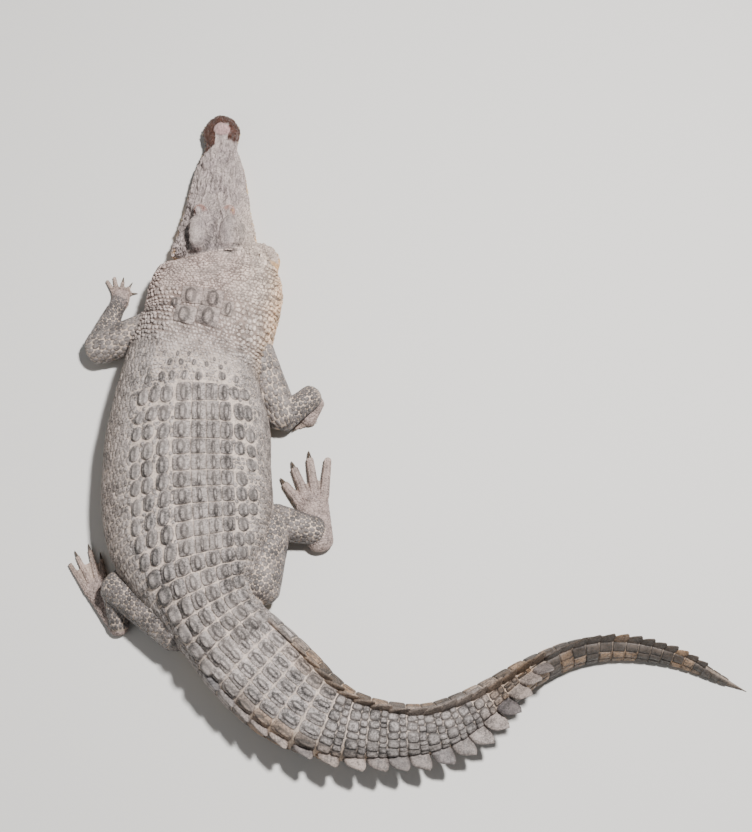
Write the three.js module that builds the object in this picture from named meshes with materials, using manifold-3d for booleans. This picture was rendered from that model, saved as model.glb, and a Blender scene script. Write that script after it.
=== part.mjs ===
// A life-size saltwater crocodile at rest on its belly, in millimetres.
// +Z is up, +Y runs towards the head and +X to the animal's right. The floor is z = 0.
// The origin lies on the floor under the middle of the trunk.
// Neck, trunk and tail follow one spine. Its stations are set out below, nape first.
// The head and the limbs are made beside it and trimmed where they meet it.

import * as THREE from 'three';
import { mergeVertices } from 'three/addons/utils/BufferGeometryUtils.js';
import Module from 'manifold-3d';

const wasm = await Module();
wasm.setup();

// ---------------------------------------------------------------- driving dimensions

const gap = 0.3;               // clearance between pieces that touch
const floorLevel = 0;
const sectionSides = 18;       // corners round a section of the body
const tailFrom = 15.5;         // station where the tail begins
const curvedTo = 24;           // station where the tail straightens
const straightSteps = 1;       // sections for each stretch between two stations
const curvedSteps = 2;         // and where the tail curves
const bellySag = 32;           // how far an unpressed belly would hang below the floor
const bellySquare = 0.8;       // fullness of the lower half of a section, as square below
const halfStep = 0.2;          // in stations, for the length of spine at a place

// Spine stations. x and y: plan position. half: half-width at the widest. top: height of the back.
// mid: height of the widest line. lean: sideways shift of the crown. roll: turn about the spine,
// positive where the crown tips to the animal's left. square: 1 for an ellipse, less for a fuller back.
const stations = [
  { x: 78, y: 800, half: 132, top: 186, mid: 96, lean: 0, roll: 0, square: 0.9 },
  { x: 88, y: 752, half: 192, top: 214, mid: 104, lean: 0, roll: 0, square: 0.88 },
  { x: 86, y: 702, half: 238, top: 238, mid: 110, lean: 0, roll: 0, square: 0.86 },
  { x: 81, y: 626, half: 251, top: 265, mid: 118, lean: 0, roll: 0, square: 0.86 },
  { x: 70, y: 554, half: 248, top: 288, mid: 124, lean: 4, roll: 0, square: 0.86 },
  { x: 56, y: 478, half: 245, top: 304, mid: 130, lean: 10, roll: 0, square: 0.86 },
  { x: 28, y: 384, half: 248, top: 320, mid: 136, lean: 22, roll: 0, square: 0.86 },
  { x: 4, y: 284, half: 259, top: 334, mid: 140, lean: 34, roll: 0, square: 0.86 },
  { x: -3, y: 176, half: 279, top: 344, mid: 142, lean: 38, roll: 0, square: 0.86 },
  { x: -1, y: 60, half: 301, top: 350, mid: 144, lean: 38, roll: 0, square: 0.86 },
  { x: -2, y: -70, half: 306, top: 352, mid: 144, lean: 40, roll: 0, square: 0.86 },
  { x: 3, y: -184, half: 310, top: 348, mid: 142, lean: 42, roll: 0, square: 0.86 },
  { x: 13, y: -294, half: 302, top: 340, mid: 140, lean: 40, roll: 0, square: 0.86 },
  { x: 30, y: -394, half: 276, top: 329, mid: 136, lean: 32, roll: 0, square: 0.84 },
  { x: 54, y: -486, half: 224, top: 316, mid: 132, lean: 20, roll: 0, square: 0.82 },
  { x: 86, y: -566, half: 180, top: 304, mid: 128, lean: 10, roll: 0, square: 0.8 },
  { x: 134, y: -643, half: 163, top: 294, mid: 124, lean: 0, roll: 0, square: 0.78 },
  { x: 205, y: -725, half: 168, top: 284, mid: 118, lean: 0, roll: 0, square: 0.76 },
  { x: 285, y: -802, half: 174, top: 272, mid: 112, lean: 0, roll: 2, square: 0.76 },
  { x: 372, y: -878, half: 170, top: 260, mid: 106, lean: 0, roll: 4, square: 0.76 },
  { x: 463, y: -942, half: 152, top: 246, mid: 100, lean: 0, roll: 6, square: 0.78 },
  { x: 576, y: -988, half: 127, top: 232, mid: 95, lean: 0, roll: 9, square: 0.8 },
  { x: 718, y: -1006, half: 103, top: 214, mid: 88, lean: 0, roll: 12, square: 0.84 },
  { x: 862, y: -999, half: 88, top: 198, mid: 82, lean: 0, roll: 15, square: 0.88 },
  { x: 984, y: -953, half: 78, top: 184, mid: 76, lean: 0, roll: 15, square: 0.94 },
  { x: 1094, y: -887, half: 67, top: 170, mid: 70, lean: 0, roll: 9, square: 1.0 },
  { x: 1216, y: -806, half: 53, top: 157, mid: 64, lean: 0, roll: 0, square: 1.06 },
  { x: 1364, y: -735, half: 43, top: 143, mid: 58, lean: 0, roll: -8, square: 1.1 },
  { x: 1504, y: -708, half: 37, top: 128, mid: 52, lean: 0, roll: -12, square: 1.1 },
  { x: 1645, y: -716, half: 31, top: 110, mid: 45, lean: 0, roll: -12, square: 1.1 },
  { x: 1780, y: -750, half: 24, top: 87, mid: 36, lean: 0, roll: -10, square: 1.1 },
  { x: 1902, y: -808, half: 15, top: 52, mid: 22, lean: 0, roll: -6, square: 1.05 },
  { x: 2006, y: -856, half: 5, top: 14, mid: 6, lean: 0, roll: 0, square: 1.0 },
];

// Where the flesh is parted, as places along the stations above.
const lengths = [
  { name: 'neck', from: 0, to: 5.5 },
  { name: 'trunk_front', from: 5.5, to: 10 },
  { name: 'trunk_rear', from: 10, to: tailFrom },
  { name: 'tail_root', from: tailFrom, to: 20 },
  { name: 'tail_middle', from: 20, to: curvedTo },
  { name: 'tail_rear', from: curvedTo, to: 28 },
  { name: 'tail_end', from: 28, to: 32 },
];

// The tail's crest: two rows of upright scutes that run together into one.
const crest = {
  first: 17.2,                 // station where the scutes begin to stand up
  merge: 26.4,                 // station where the two rows become one
  pitch: 69,                   // length of one whorl at the root
  endPitch: 27,                // and at the tip
  pitchCurve: 2.2,             // above 1, the whorls keep their length until near the tip
  fill: 0.96,                  // share of a whorl's length that its scute takes
  tipBare: 0.6,                // stations at the tip that carry no scute
  splayMerge: 0.3,             // angle from the crown to each row at the merge, in radians
  gather: 23.4,                // station where the rows begin to draw together
  tallFrom: 18.6,              // between these stations the double rows grow to their full height
  tallTo: 25,
  riseRoot: 18,
  riseDouble: 70,
  riseSingle: 56,
  riseEnd: 12,
  riseCurve: 1.4,
  thick: 12,
  thickShare: 0.5,             // most of the half-width that a scute's thickness may take
  sunk: 12,                    // depth of each scute's root in the flesh
  rake: 0.4,                   // share of its length that the tip lies behind the middle
  shoulder: 0.3,               // share of its length that the fore shoulder lies before it
  shoulderRise: 0.6,           // height of that shoulder as a share of the whole
  around: 0.05,                // angle to each side that sets how a scute stands, in radians
};

// The two rows. splay: angle from the crown. upright: 0 for scutes square to the flesh, 1 for vertical ones.
const crestRows = [
  { way: -1, splay: 1.0, upright: 0.05 },
  { way: 1, splay: 0.84, upright: 0.8 },
];

// Head, measured back from the snout tip along its own axis.
const head = {
  tipX: 78,
  tipY: 1408,
  turn: -0.013,                // radians from +Y
  length: 634,
  tableHalf: 77,               // half-width of the flat skull table
  tableStep: 0.86,             // height of the cheek beside the table, as a share of the table's
  cheekCurve: 0.95,
  domeCurve: 2.3,              // fullness of the snout's dome
  domeFall: 0.62,
  eyeBack: 470,
  eyeSide: 55,
  eyeHeight: 178,
  eyeRadius: 17,
  browSide: 50,
  browSpread: 2.2,             // radius of the mound round each eye, in eye radii
  browRise: 15,
  nostrilBack: 78,
  nostrilRadius: 30,
  nostrilRise: 12,
  lip: 4,                      // depth of the upper jaw's edge
  overbite: 5,                 // how far the upper jaw stands outside the lower
};

// back: distance from the tip. half: half-width. top: height. mouth: height of the line of the jaws.
// chin: height of the lower edge. flat: 0 for a dome, 1 where the table's flat roof is full.
const headStations = [
  { back: 0, half: 12, top: 54, mouth: 40, chin: 26, flat: 0 },
  { back: 9, half: 36, top: 68, mouth: 40, chin: 12, flat: 0 },
  { back: 28, half: 57, top: 78, mouth: 41, chin: 4, flat: 0 },
  { back: 66, half: 74, top: 86, mouth: 43, chin: 0, flat: 0 },
  { back: 104, half: 71, top: 87, mouth: 42, chin: 0, flat: 0 },
  { back: 142, half: 63, top: 89, mouth: 40, chin: 0, flat: 0 },
  { back: 176, half: 74, top: 96, mouth: 41, chin: 0, flat: 0 },
  { back: 222, half: 90, top: 106, mouth: 43, chin: 0, flat: 0 },
  { back: 282, half: 105, top: 113, mouth: 47, chin: 0, flat: 0 },
  { back: 350, half: 117, top: 122, mouth: 52, chin: 0, flat: 0.1 },
  { back: 418, half: 128, top: 146, mouth: 58, chin: 0, flat: 0.35 },
  { back: 470, half: 140, top: 184, mouth: 66, chin: 0, flat: 0.8 },
  { back: 520, half: 152, top: 202, mouth: 74, chin: 0, flat: 1 },
  { back: 580, half: 165, top: 205, mouth: 84, chin: 0, flat: 1 },
  { back: 634, half: 166, top: 203, mouth: 96, chin: 0, flat: 1 },
];

// The lower jaw's trough. roof: share of the width that is flat on top. deep: how much deeper than
// the jaw the trough would be. square: less for fuller sides.
const trough = { roof: 0.5, deep: 14, square: 0.7, spans: 6 };

// inset: place of a tooth from the jaw's edge, in tooth radii. sunk: share of its length in the jaw.
const teeth = {
  perSide: 6, firstBack: 48, lastBack: 440, length: 18, radius: 5, inset: 0.9, sunk: 0.3, sides: 4,
};

const jowl = { x: 232, y: 756, z: 78, along: 92, across: 94, up: 74, sides: 12, rings: 8 };

// Limbs. Each segment: its start a and end b, its half-width and half-height at both.
const limbs = {
  foreleg_left: [
    { name: 'upper_arm', a: [-170, 470, 120], b: [-362, 424, 66], wide: [76, 60], tall: [82, 58] },
    { name: 'forearm', a: [-362, 432, 62], b: [-294, 634, 30], wide: [53, 30], tall: [52, 28] },
  ],
  foreleg_right: [
    { name: 'upper_arm', a: [238, 372, 130], b: [338, 150, 70], wide: [74, 58], tall: [82, 60] },
    { name: 'forearm', a: [338, 148, 66], b: [446, 232, 78], wide: [54, 42], tall: [54, 38] },
  ],
  hindleg_left: [
    { name: 'thigh', a: [-20, -655, 118], b: [-246, -494, 96], wide: [82, 62], tall: [92, 72] },
    { name: 'shank', a: [-252, -496, 84], b: [-238, -622, 34], wide: [54, 33], tall: [70, 34] },
  ],
  hindleg_right: [
    { name: 'thigh', a: [262, -500, 124], b: [308, -266, 104], wide: [86, 68], tall: [96, 80] },
    { name: 'shank', a: [322, -256, 92], b: [462, -278, 50], wide: [72, 48], tall: [76, 46] },
  ],
};

// Hands and feet. root: wrist or heel. palm: end of the palm. digits: tips, inner digit first.
const feet = {
  hand_left: {
    root: [-293, 622, 26], palm: [-291, 668, 17], wide: [34, 38], tall: [28, 18],
    digits: [[-252, 668], [-262, 696], [-288, 716], [-322, 734], [-350, 722]],
    digitRadius: 10, clawLength: 18, web: 0.3,
  },
  hand_right: {
    root: [458, 224, 30], palm: [426, 164, 20], wide: [34, 38], tall: [34, 22],
    digits: [[356, 150], [368, 132], [384, 126], [402, 132], [422, 142]],
    digitRadius: 10, clawLength: 16, web: 0.3,
  },
  foot_left: {
    root: [-236, -632, 24], palm: [-330, -478, 16], wide: [34, 50], tall: [26, 16],
    digits: [[-318, -374], [-360, -342], [-404, -366], [-430, -394]],
    digitRadius: 12, clawLength: 22, web: 0.72,
  },
  foot_right: {
    root: [482, -318, 36], palm: [446, -150, 20], wide: [46, 66], tall: [38, 20],
    digits: [[350, -94], [382, -34], [438, 4], [505, 2]],
    digitRadius: 19, clawLength: 22, web: 0.45,
  },
};
const clawedDigits = 3;

// Shares of the digit's radius, except lift, which is in millimetres, and spread, a share of the palm.
const toe = { wide: [1.15, 0.84], tall: [1.2, 0.7], lift: 2, spread: 0.72, webThick: 0.5, webLow: 0.35 };
const claw = { height: 0.62, radius: 0.52, droop: -0.1, sides: 4 };

// Rounded ends of limbs and toes. cap: length as a share of the half-width. blunt: least rounding.
const ends = { cap: 0.75, blunt: 0.12 };

// Corners and sections of the swelling tubes, and facets of the head.
const limbFacets = { sides: 10, steps: 5 };
const palmFacets = { sides: 8, steps: 4 };
const toeFacets = { sides: 5, steps: 4 };
const eyeFacets = { sides: 8, rings: 5 };
const roofSpans = 12;
const jawRoom = 2.7;           // clearance under the jaw, so that the neck leaves nothing there

// ---------------------------------------------------------------- materials

function finish(color, roughness) {
  return new THREE.MeshStandardMaterial({ color, roughness, metalness: 0 });
}

const hide = finish(0x8f8377, 0.8);
const headHide = finish(0x94877c, 0.75);
const limbHide = finish(0x6f6a66, 0.7);
const horn = finish(0x4a423b, 0.5);
const eyeball = finish(0x9a7434, 0.15);

// ---------------------------------------------------------------- solids

// A geometry's corners and triangles as a solid that can be joined and cut.
function solidOf(geometry) {
  const bare = geometry.clone();
  bare.deleteAttribute('normal');
  bare.deleteAttribute('uv');
  const merged = mergeVertices(bare, 1e-3);
  return new wasm.Manifold(new wasm.Mesh({
    numProp: 3,
    vertProperties: new Float32Array(merged.attributes.position.array),
    triVerts: new Uint32Array(merged.index.array),
  }));
}

function geometryOf(solid) {
  const mesh = solid.getMesh();
  const geometry = new THREE.BufferGeometry();
  geometry.setAttribute('position', new THREE.BufferAttribute(mesh.vertProperties, 3));
  geometry.setIndex(new THREE.BufferAttribute(mesh.triVerts, 1));
  geometry.computeVertexNormals();
  return geometry;
}

// The largest piece of a solid, without the slivers that a cut can leave beside it.
function largest(solid) {
  return solid.decompose().reduce((best, piece) => (piece.volume() > best.volume() ? piece : best));
}

// A closed skin over a row of rings that all have the same number of corners.
function loft(rings) {
  const sides = rings[0].length;
  const corners = rings.flat();
  const first = corners.length;
  corners.push(centreOf(rings[0]), centreOf(rings[rings.length - 1]));
  const faces = [];
  for (let ring = 0; ring < rings.length - 1; ring += 1) {
    for (let side = 0; side < sides; side += 1) {
      const next = (side + 1) % sides;
      const a = ring * sides + side;
      const b = ring * sides + next;
      faces.push(a, b, a + sides, b, b + sides, a + sides);
    }
  }
  const last = (rings.length - 1) * sides;
  for (let side = 0; side < sides; side += 1) {
    const next = (side + 1) % sides;
    faces.push(first, next, side);
    faces.push(first + 1, last + side, last + next);
  }
  const geometry = new THREE.BufferGeometry();
  geometry.setAttribute('position', new THREE.Float32BufferAttribute(corners.flatMap((c) => c.toArray()), 3));
  geometry.setIndex(faces);
  return facingOut(geometry);
}

function centreOf(ring) {
  const sum = new THREE.Vector3();
  ring.forEach((corner) => sum.add(corner));
  return sum.divideScalar(ring.length);
}

// Turns every face over where the loft was laid the other way round.
function facingOut(geometry) {
  const at = geometry.attributes.position;
  const order = geometry.index.array;
  const [a, b, c] = [new THREE.Vector3(), new THREE.Vector3(), new THREE.Vector3()];
  let volume = 0;
  for (let i = 0; i < order.length; i += 3) {
    a.fromBufferAttribute(at, order[i]);
    b.fromBufferAttribute(at, order[i + 1]);
    c.fromBufferAttribute(at, order[i + 2]);
    volume += a.dot(b.cross(c));
  }
  if (volume < 0) {
    for (let i = 0; i < order.length; i += 3) {
      [order[i + 1], order[i + 2]] = [order[i + 2], order[i + 1]];
    }
  }
  return geometry;
}

// ---------------------------------------------------------------- body

const spine = new THREE.CatmullRomCurve3(
  stations.map((station) => new THREE.Vector3(station.x, station.y, 0)),
  false,
  'catmullrom',
  0.5,
);

// One of a row's values at a place between its entries, on a smooth curve.
function valueAt(row, key, place) {
  const last = row.length - 1;
  const low = Math.min(Math.floor(place), last - 1);
  const t = place - low;
  const held = (i) => row[THREE.MathUtils.clamp(i, 0, last)][key];
  const [p0, p1, p2, p3] = [low - 1, low, low + 1, low + 2].map(held);
  const start = (p2 - p0) / 2;
  const end = (p3 - p1) / 2;
  return p1 + start * t + (3 * (p2 - p1) - 2 * start - end) * t ** 2 + (2 * (p1 - p2) + start + end) * t ** 3;
}

function spineFrame(place) {
  const share = place / (stations.length - 1);
  const centre = spine.getPoint(share);
  const before = spine.getPoint(Math.max(share - 1e-3, 0));
  const ahead = spine.getPoint(Math.min(share + 1e-3, 1)).sub(before).normalize();
  const side = new THREE.Vector3(-ahead.y, ahead.x, 0);
  return { centre, ahead, side };
}

// Millimetres along the spine for one station at a place.
function stationLength(place) {
  const share = THREE.MathUtils.clamp(place / (stations.length - 1), 0.01, 0.99);
  const step = halfStep / (stations.length - 1);
  return spine.getPoint(share - step).distanceTo(spine.getPoint(share + step)) / (2 * halfStep);
}

function signedPower(value, power) {
  return Math.sign(value) * Math.abs(value) ** power;
}

// The body's surface at a place on the spine. The angle runs from the crown, positive to the right.
function bodyPoint(place, angle, grow = 0) {
  const half = valueAt(stations, 'half', place) + grow;
  const top = valueAt(stations, 'top', place) + grow;
  const mid = valueAt(stations, 'mid', place);
  const square = valueAt(stations, 'square', place);
  const roll = THREE.MathUtils.degToRad(valueAt(stations, 'roll', place));
  const above = Math.cos(angle) >= 0;
  const reach = above ? top - mid : mid + bellySag + grow;
  let across = half * signedPower(Math.sin(angle), square);
  const rise = reach * signedPower(Math.cos(angle), above ? square : bellySquare);
  if (above) across += valueAt(stations, 'lean', place) * (rise / reach) ** 2;
  const { centre, side } = spineFrame(place);
  const turnedAcross = across * Math.cos(roll) - rise * Math.sin(roll);
  const turnedRise = across * Math.sin(roll) + rise * Math.cos(roll);
  const point = centre.clone().addScaledVector(side, turnedAcross);
  point.z = Math.max(mid + turnedRise, floorLevel - grow);
  return point;
}

function bodyRing(place, grow) {
  const ring = [];
  for (let i = 0; i < sectionSides; i += 1) {
    ring.push(bodyPoint(place, (i / sectionSides) * Math.PI * 2, grow));
  }
  return ring;
}

function bodyLength(from, to, grow = 0) {
  const curved = from >= tailFrom && from < curvedTo;
  const steps = Math.round((to - from) * (curved ? curvedSteps : straightSteps));
  const rings = [];
  for (let i = 0; i <= steps; i += 1) {
    let place = from + ((to - from) * i) / steps;
    const parted = grow === 0 ? gap / 2 / stationLength(place) : 0;
    if (i === 0 && from > 0) place += parted;
    if (i === steps && to < stations.length - 1) place -= parted;
    rings.push(bodyRing(place, grow));
  }
  return solidOf(loft(rings));
}

// ---------------------------------------------------------------- crest

// Places of the crest's scutes: each whorl is a little shorter than the one before it.
function crestPlaces() {
  const places = [];
  let place = crest.first;
  while (place < stations.length - 1 - crest.tipBare) {
    places.push(place);
    place += crestPitch(place) / stationLength(place);
  }
  return places;
}

function crestPitch(place) {
  const share = (place - crest.first) / (stations.length - 1 - crest.first);
  return THREE.MathUtils.lerp(crest.pitch, crest.endPitch, share ** crest.pitchCurve);
}

function crestRise(place) {
  const { merge } = crest;
  if (place < merge) {
    const share = THREE.MathUtils.smoothstep(place, crest.tallFrom, crest.tallTo);
    return THREE.MathUtils.lerp(crest.riseRoot, crest.riseDouble, share);
  }
  const share = (place - merge) / (stations.length - 1 - merge);
  return THREE.MathUtils.lerp(crest.riseSingle, crest.riseEnd, share ** crest.riseCurve);
}

// One scute: a raked blade, thick at its root, standing out from the flesh.
function crestScute(place, angle, upright) {
  const rise = crestRise(place);
  const long = Math.min(crest.pitch, crestPitch(place)) * crest.fill;
  const outline = new THREE.Shape();
  outline.moveTo(-long / 2, -crest.sunk);
  outline.lineTo(long / 2, -crest.sunk);
  outline.lineTo(long * crest.rake, rise);
  outline.lineTo(-long * crest.shoulder, rise * crest.shoulderRise);
  outline.closePath();
  const thick = Math.min(crest.thick, valueAt(stations, 'half', place) * crest.thickShare);
  const blade = new THREE.ExtrudeGeometry(outline, { depth: thick, bevelEnabled: false, steps: 1 });
  blade.translate(0, 0, -thick / 2);
  const { ahead } = spineFrame(place);
  const root = bodyPoint(place, angle);
  const [near, far] = [-crest.around, crest.around].map((turn) => bodyPoint(place, angle + turn));
  const around = far.sub(near).normalize();
  const out = around.clone().cross(ahead).normalize();
  if (out.z < 0) out.negate();
  out.lerp(new THREE.Vector3(0, 0, 1), upright).normalize();
  const thickness = ahead.clone().cross(out).normalize();
  blade.applyMatrix4(new THREE.Matrix4().makeBasis(ahead, out, thickness));
  blade.translate(root.x, root.y, root.z);
  return solidOf(blade);
}

// The rows that stand at a place: their angles and how upright their scutes are.
function crestRowsAt(place) {
  if (place > crest.merge) return [{ angle: 0, upright: 0 }];
  const share = THREE.MathUtils.smoothstep(place, crest.gather, crest.merge);
  return crestRows.map(({ way, splay, upright }) => (
    { angle: way * THREE.MathUtils.lerp(splay, crest.splayMerge, share), upright }
  ));
}

// Cuts away what stands beyond the parting plane at a place on the spine.
function trimmedAt(solid, place, way) {
  const { centre, ahead } = spineFrame(place);
  const normal = ahead.multiplyScalar(way);
  return solid.trimByPlane(normal.toArray(), centre.dot(normal) + gap / 2);
}

function withCrest(solid, from, to) {
  let joined = solid;
  crestPlaces().filter((place) => place >= from && place < to).forEach((place) => {
    crestRowsAt(place).forEach(({ angle, upright }) => {
      let scute = trimmedAt(crestScute(place, angle, upright), from, 1);
      if (to < stations.length - 1) scute = trimmedAt(scute, to, -1);
      joined = joined.add(scute);
    });
  });
  return joined;
}

// ---------------------------------------------------------------- head

// Widths and heights of the head at a distance from the snout tip.
function headAt(back) {
  let low = 0;
  while (low < headStations.length - 2 && headStations[low + 1].back < back) low += 1;
  const span = headStations[low + 1].back - headStations[low].back;
  const place = low + (back - headStations[low].back) / span;
  const found = {};
  ['half', 'top', 'mouth', 'chin', 'flat'].forEach((key) => {
    found[key] = valueAt(headStations, key, place);
  });
  return found;
}

// Height of the head's roof: a dome on the snout, a flat table with sloping cheeks behind the eyes.
function roofHeight(back, side) {
  const { half, top, mouth, flat } = headAt(back);
  const share = Math.min(Math.abs(side) / half, 1);
  const dome = (1 - share ** head.domeCurve) ** head.domeFall;
  const edge = head.tableHalf / half;
  const slope = Math.max(0, (share - edge) / (1 - edge));
  const table = share < edge ? 1 : head.tableStep * (1 - slope) ** head.cheekCurve;
  const brow = browAt(back, Math.abs(side));
  const nostril = moundAt(back - head.nostrilBack, side, head.nostrilRadius) * head.nostrilRise;
  return mouth + (top - mouth) * THREE.MathUtils.lerp(dome, table, flat) + brow + nostril;
}

function browAt(back, side) {
  return moundAt(back - head.eyeBack, side - head.browSide, head.eyeRadius * head.browSpread) * head.browRise;
}

function moundAt(along, across, radius) {
  const share = Math.min(Math.hypot(along, across) / radius, 1);
  return (1 - share ** 2) ** 2;
}

const headFrame = new THREE.Matrix4()
  .makeTranslation(head.tipX, head.tipY, 0)
  .multiply(new THREE.Matrix4().makeRotationZ(head.turn));

function headPoint(back, side, height) {
  return new THREE.Vector3(side, -back, height).applyMatrix4(headFrame);
}

const headBacks = [0, 9, 28, 60, 84, 108, 142, 176, 222, 282, 350, 408, 444, 470, 496, 530, 580, 634];

// A grown copy of the head reaches past both of its ends.
function grownBack(back, grow) {
  return back === head.length ? back + grow : back - grow;
}

// The upper jaw and skull above the line of the jaws.
function skullSolid(grow = 0) {
  const rings = headBacks.map((back) => {
    const { half, mouth } = headAt(back);
    const at = grownBack(back, grow);
    const ring = [];
    for (let i = 0; i <= roofSpans; i += 1) {
      const side = (half + grow) * Math.sin(((i / roofSpans) * 2 - 1) * (Math.PI / 2));
      ring.push(headPoint(at, side, Math.max(roofHeight(back, side), mouth + head.lip) + grow));
    }
    ring.push(headPoint(at, half + grow, mouth - grow));
    ring.push(headPoint(at, -half - grow, mouth - grow));
    return ring;
  });
  return solidOf(loft(rings));
}

// The lower jaw: a shallow trough shape with a flat underside.
function lowerJawSolid() {
  const rings = headBacks.filter((back) => back > 0).map((back) => {
    const { half, mouth, chin } = headAt(back);
    const outer = half - head.overbite;
    const roof = outer * trough.roof;
    const ring = [headPoint(back, -roof, mouth - gap), headPoint(back, roof, mouth - gap)];
    for (let i = 0; i <= trough.spans; i += 1) {
      const angle = (i / trough.spans) * Math.PI;
      const side = outer * signedPower(Math.cos(angle), trough.square);
      const drop = (mouth - gap - chin + trough.deep) * Math.sin(angle) ** trough.square;
      ring.push(headPoint(back, side, Math.max(chin, mouth - gap - drop)));
    }
    return ring;
  });
  return solidOf(loft(rings));
}

// The teeth of the upper jaw, standing outside the lower one.
function upperTeeth(grow = 0) {
  const cones = [];
  for (let i = 0; i < teeth.perSide; i += 1) {
    const back = THREE.MathUtils.lerp(teeth.firstBack, teeth.lastBack, i / (teeth.perSide - 1));
    const { half, mouth } = headAt(back);
    [-1, 1].forEach((way) => {
      const tooth = new THREE.ConeGeometry(teeth.radius + grow, teeth.length + grow, teeth.sides, 1);
      tooth.rotateX(-Math.PI / 2);
      const side = way * (half - teeth.radius * teeth.inset);
      const root = headPoint(back, side, mouth - teeth.length * teeth.sunk);
      tooth.translate(root.x, root.y, root.z);
      cones.push(solidOf(tooth));
    });
  }
  return cones.reduce((all, cone) => all.add(cone));
}

function eyeSolid(way, grow = 0) {
  const ball = new THREE.SphereGeometry(head.eyeRadius + grow, eyeFacets.sides, eyeFacets.rings);
  const place = headPoint(head.eyeBack, way * head.eyeSide, head.eyeHeight);
  ball.translate(place.x, place.y, place.z);
  return solidOf(ball);
}

// ---------------------------------------------------------------- limbs

// A limb segment: a swelling tube with rounded ends, pressed flat where it meets the floor.
function segmentSolid({ a, b, wide, tall }, grow = 0, { sides, steps } = limbFacets) {
  const start = new THREE.Vector3(...a);
  const end = new THREE.Vector3(...b);
  const along = end.clone().sub(start).normalize();
  const across = new THREE.Vector3(along.y, -along.x, 0).normalize();
  const over = across.clone().cross(along).normalize();
  const caps = [wide[0] * ends.cap, wide[1] * ends.cap];
  const startCap = start.clone().addScaledVector(along, -caps[0] - grow);
  const endCap = end.clone().addScaledVector(along, caps[1] + grow);
  const length = startCap.distanceTo(endCap);
  const rings = [];
  for (let step = 0; step <= steps; step += 1) {
    const share = (1 - Math.cos((step / steps) * Math.PI)) / 2;
    const at = startCap.clone().lerp(endCap, share);
    const fromEnd = Math.min(share * length / caps[0], (1 - share) * length / caps[1], 1);
    const round = Math.max(Math.sqrt(1 - (1 - fromEnd) ** 2), ends.blunt);
    const halfWide = THREE.MathUtils.lerp(wide[0], wide[1], share) * round + grow;
    const halfTall = THREE.MathUtils.lerp(tall[0], tall[1], share) * round + grow;
    const ring = [];
    for (let i = 0; i < sides; i += 1) {
      const angle = (i / sides) * Math.PI * 2;
      const corner = at.clone()
        .addScaledVector(across, halfWide * Math.cos(angle))
        .addScaledVector(over, halfTall * Math.sin(angle));
      corner.z = Math.max(corner.z, floorLevel - grow);
      ring.push(corner);
    }
    rings.push(ring);
  }
  return solidOf(loft(rings));
}

// A hand or foot: the palm, its digits and the web between them.
function footSolid({ root, palm, wide, tall, digits, digitRadius, web }, grow = 0) {
  let joined = segmentSolid({ a: root, b: palm, wide, tall }, grow, palmFacets);
  const bases = digitBases({ root, palm, wide, digits });
  digits.forEach((tip, i) => {
    const segment = {
      a: [bases[i].x, bases[i].y, digitRadius + toe.lift],
      b: [tip[0], tip[1], digitRadius * toe.tall[1]],
      wide: toe.wide.map((share) => digitRadius * share),
      tall: toe.tall.map((share) => digitRadius * share),
    };
    joined = joined.add(segmentSolid(segment, grow, toeFacets));
  });
  for (let i = 0; i < digits.length - 1; i += 1) {
    joined = joined.add(webSolid(bases[i], bases[i + 1], digits[i], digits[i + 1], web, digitRadius, grow));
  }
  return joined;
}

// The digits' roots lie across the end of the palm, in the order of their tips.
function digitBases({ root, palm, wide, digits }) {
  const along = new THREE.Vector2(palm[0] - root[0], palm[1] - root[1]).normalize();
  const across = new THREE.Vector2(-along.y, along.x);
  const firstTip = new THREE.Vector2(digits[0][0] - palm[0], digits[0][1] - palm[1]);
  const way = Math.sign(firstTip.dot(across));
  return digits.map((tip, i) => {
    const offset = way * wide[1] * toe.spread * (1 - (2 * i) / (digits.length - 1));
    return new THREE.Vector3(palm[0] + across.x * offset, palm[1] + across.y * offset, 0);
  });
}

// A thin web that reaches a share of the way along two neighbouring digits.
function webSolid(baseA, baseB, tipA, tipB, reach, digitRadius, grow) {
  const outline = new THREE.Shape();
  const farA = new THREE.Vector2(baseA.x, baseA.y).lerp(new THREE.Vector2(...tipA), reach);
  const farB = new THREE.Vector2(baseB.x, baseB.y).lerp(new THREE.Vector2(...tipB), reach);
  outline.moveTo(baseA.x, baseA.y);
  outline.lineTo(farA.x, farA.y);
  outline.lineTo(farB.x, farB.y);
  outline.lineTo(baseB.x, baseB.y);
  outline.closePath();
  const thick = digitRadius * toe.webThick;
  const depth = thick + 2 * grow;
  const sheet = new THREE.ExtrudeGeometry(outline, { depth, bevelEnabled: false, steps: 1 });
  sheet.translate(0, 0, digitRadius * toe.webLow - grow);
  return solidOf(sheet);
}

// A claw: a cone that leaves the tip of its digit and dips towards the floor.
function clawSolid({ root, palm, wide, digits, digitRadius, clawLength }, index) {
  const base = digitBases({ root, palm, wide, digits })[index];
  const tip = new THREE.Vector3(...digits[index], digitRadius * claw.height);
  const along = tip.clone().setZ(0).sub(base.setZ(0)).normalize();
  const length = clawLength + digitRadius;
  const cone = new THREE.ConeGeometry(digitRadius * claw.radius, length, claw.sides, 1);
  cone.translate(0, length / 2, 0);
  const droop = new THREE.Vector3(along.x, along.y, claw.droop).normalize();
  cone.applyQuaternion(new THREE.Quaternion().setFromUnitVectors(new THREE.Vector3(0, 1, 0), droop));
  cone.translate(tip.x, tip.y, tip.z);
  return solidOf(cone);
}

// ---------------------------------------------------------------- the animal

const crocodile = new THREE.Group();

function addPart(name, solid, material) {
  const mesh = new THREE.Mesh(geometryOf(largest(solid)), material);
  mesh.name = name;
  crocodile.add(mesh);
}

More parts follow.
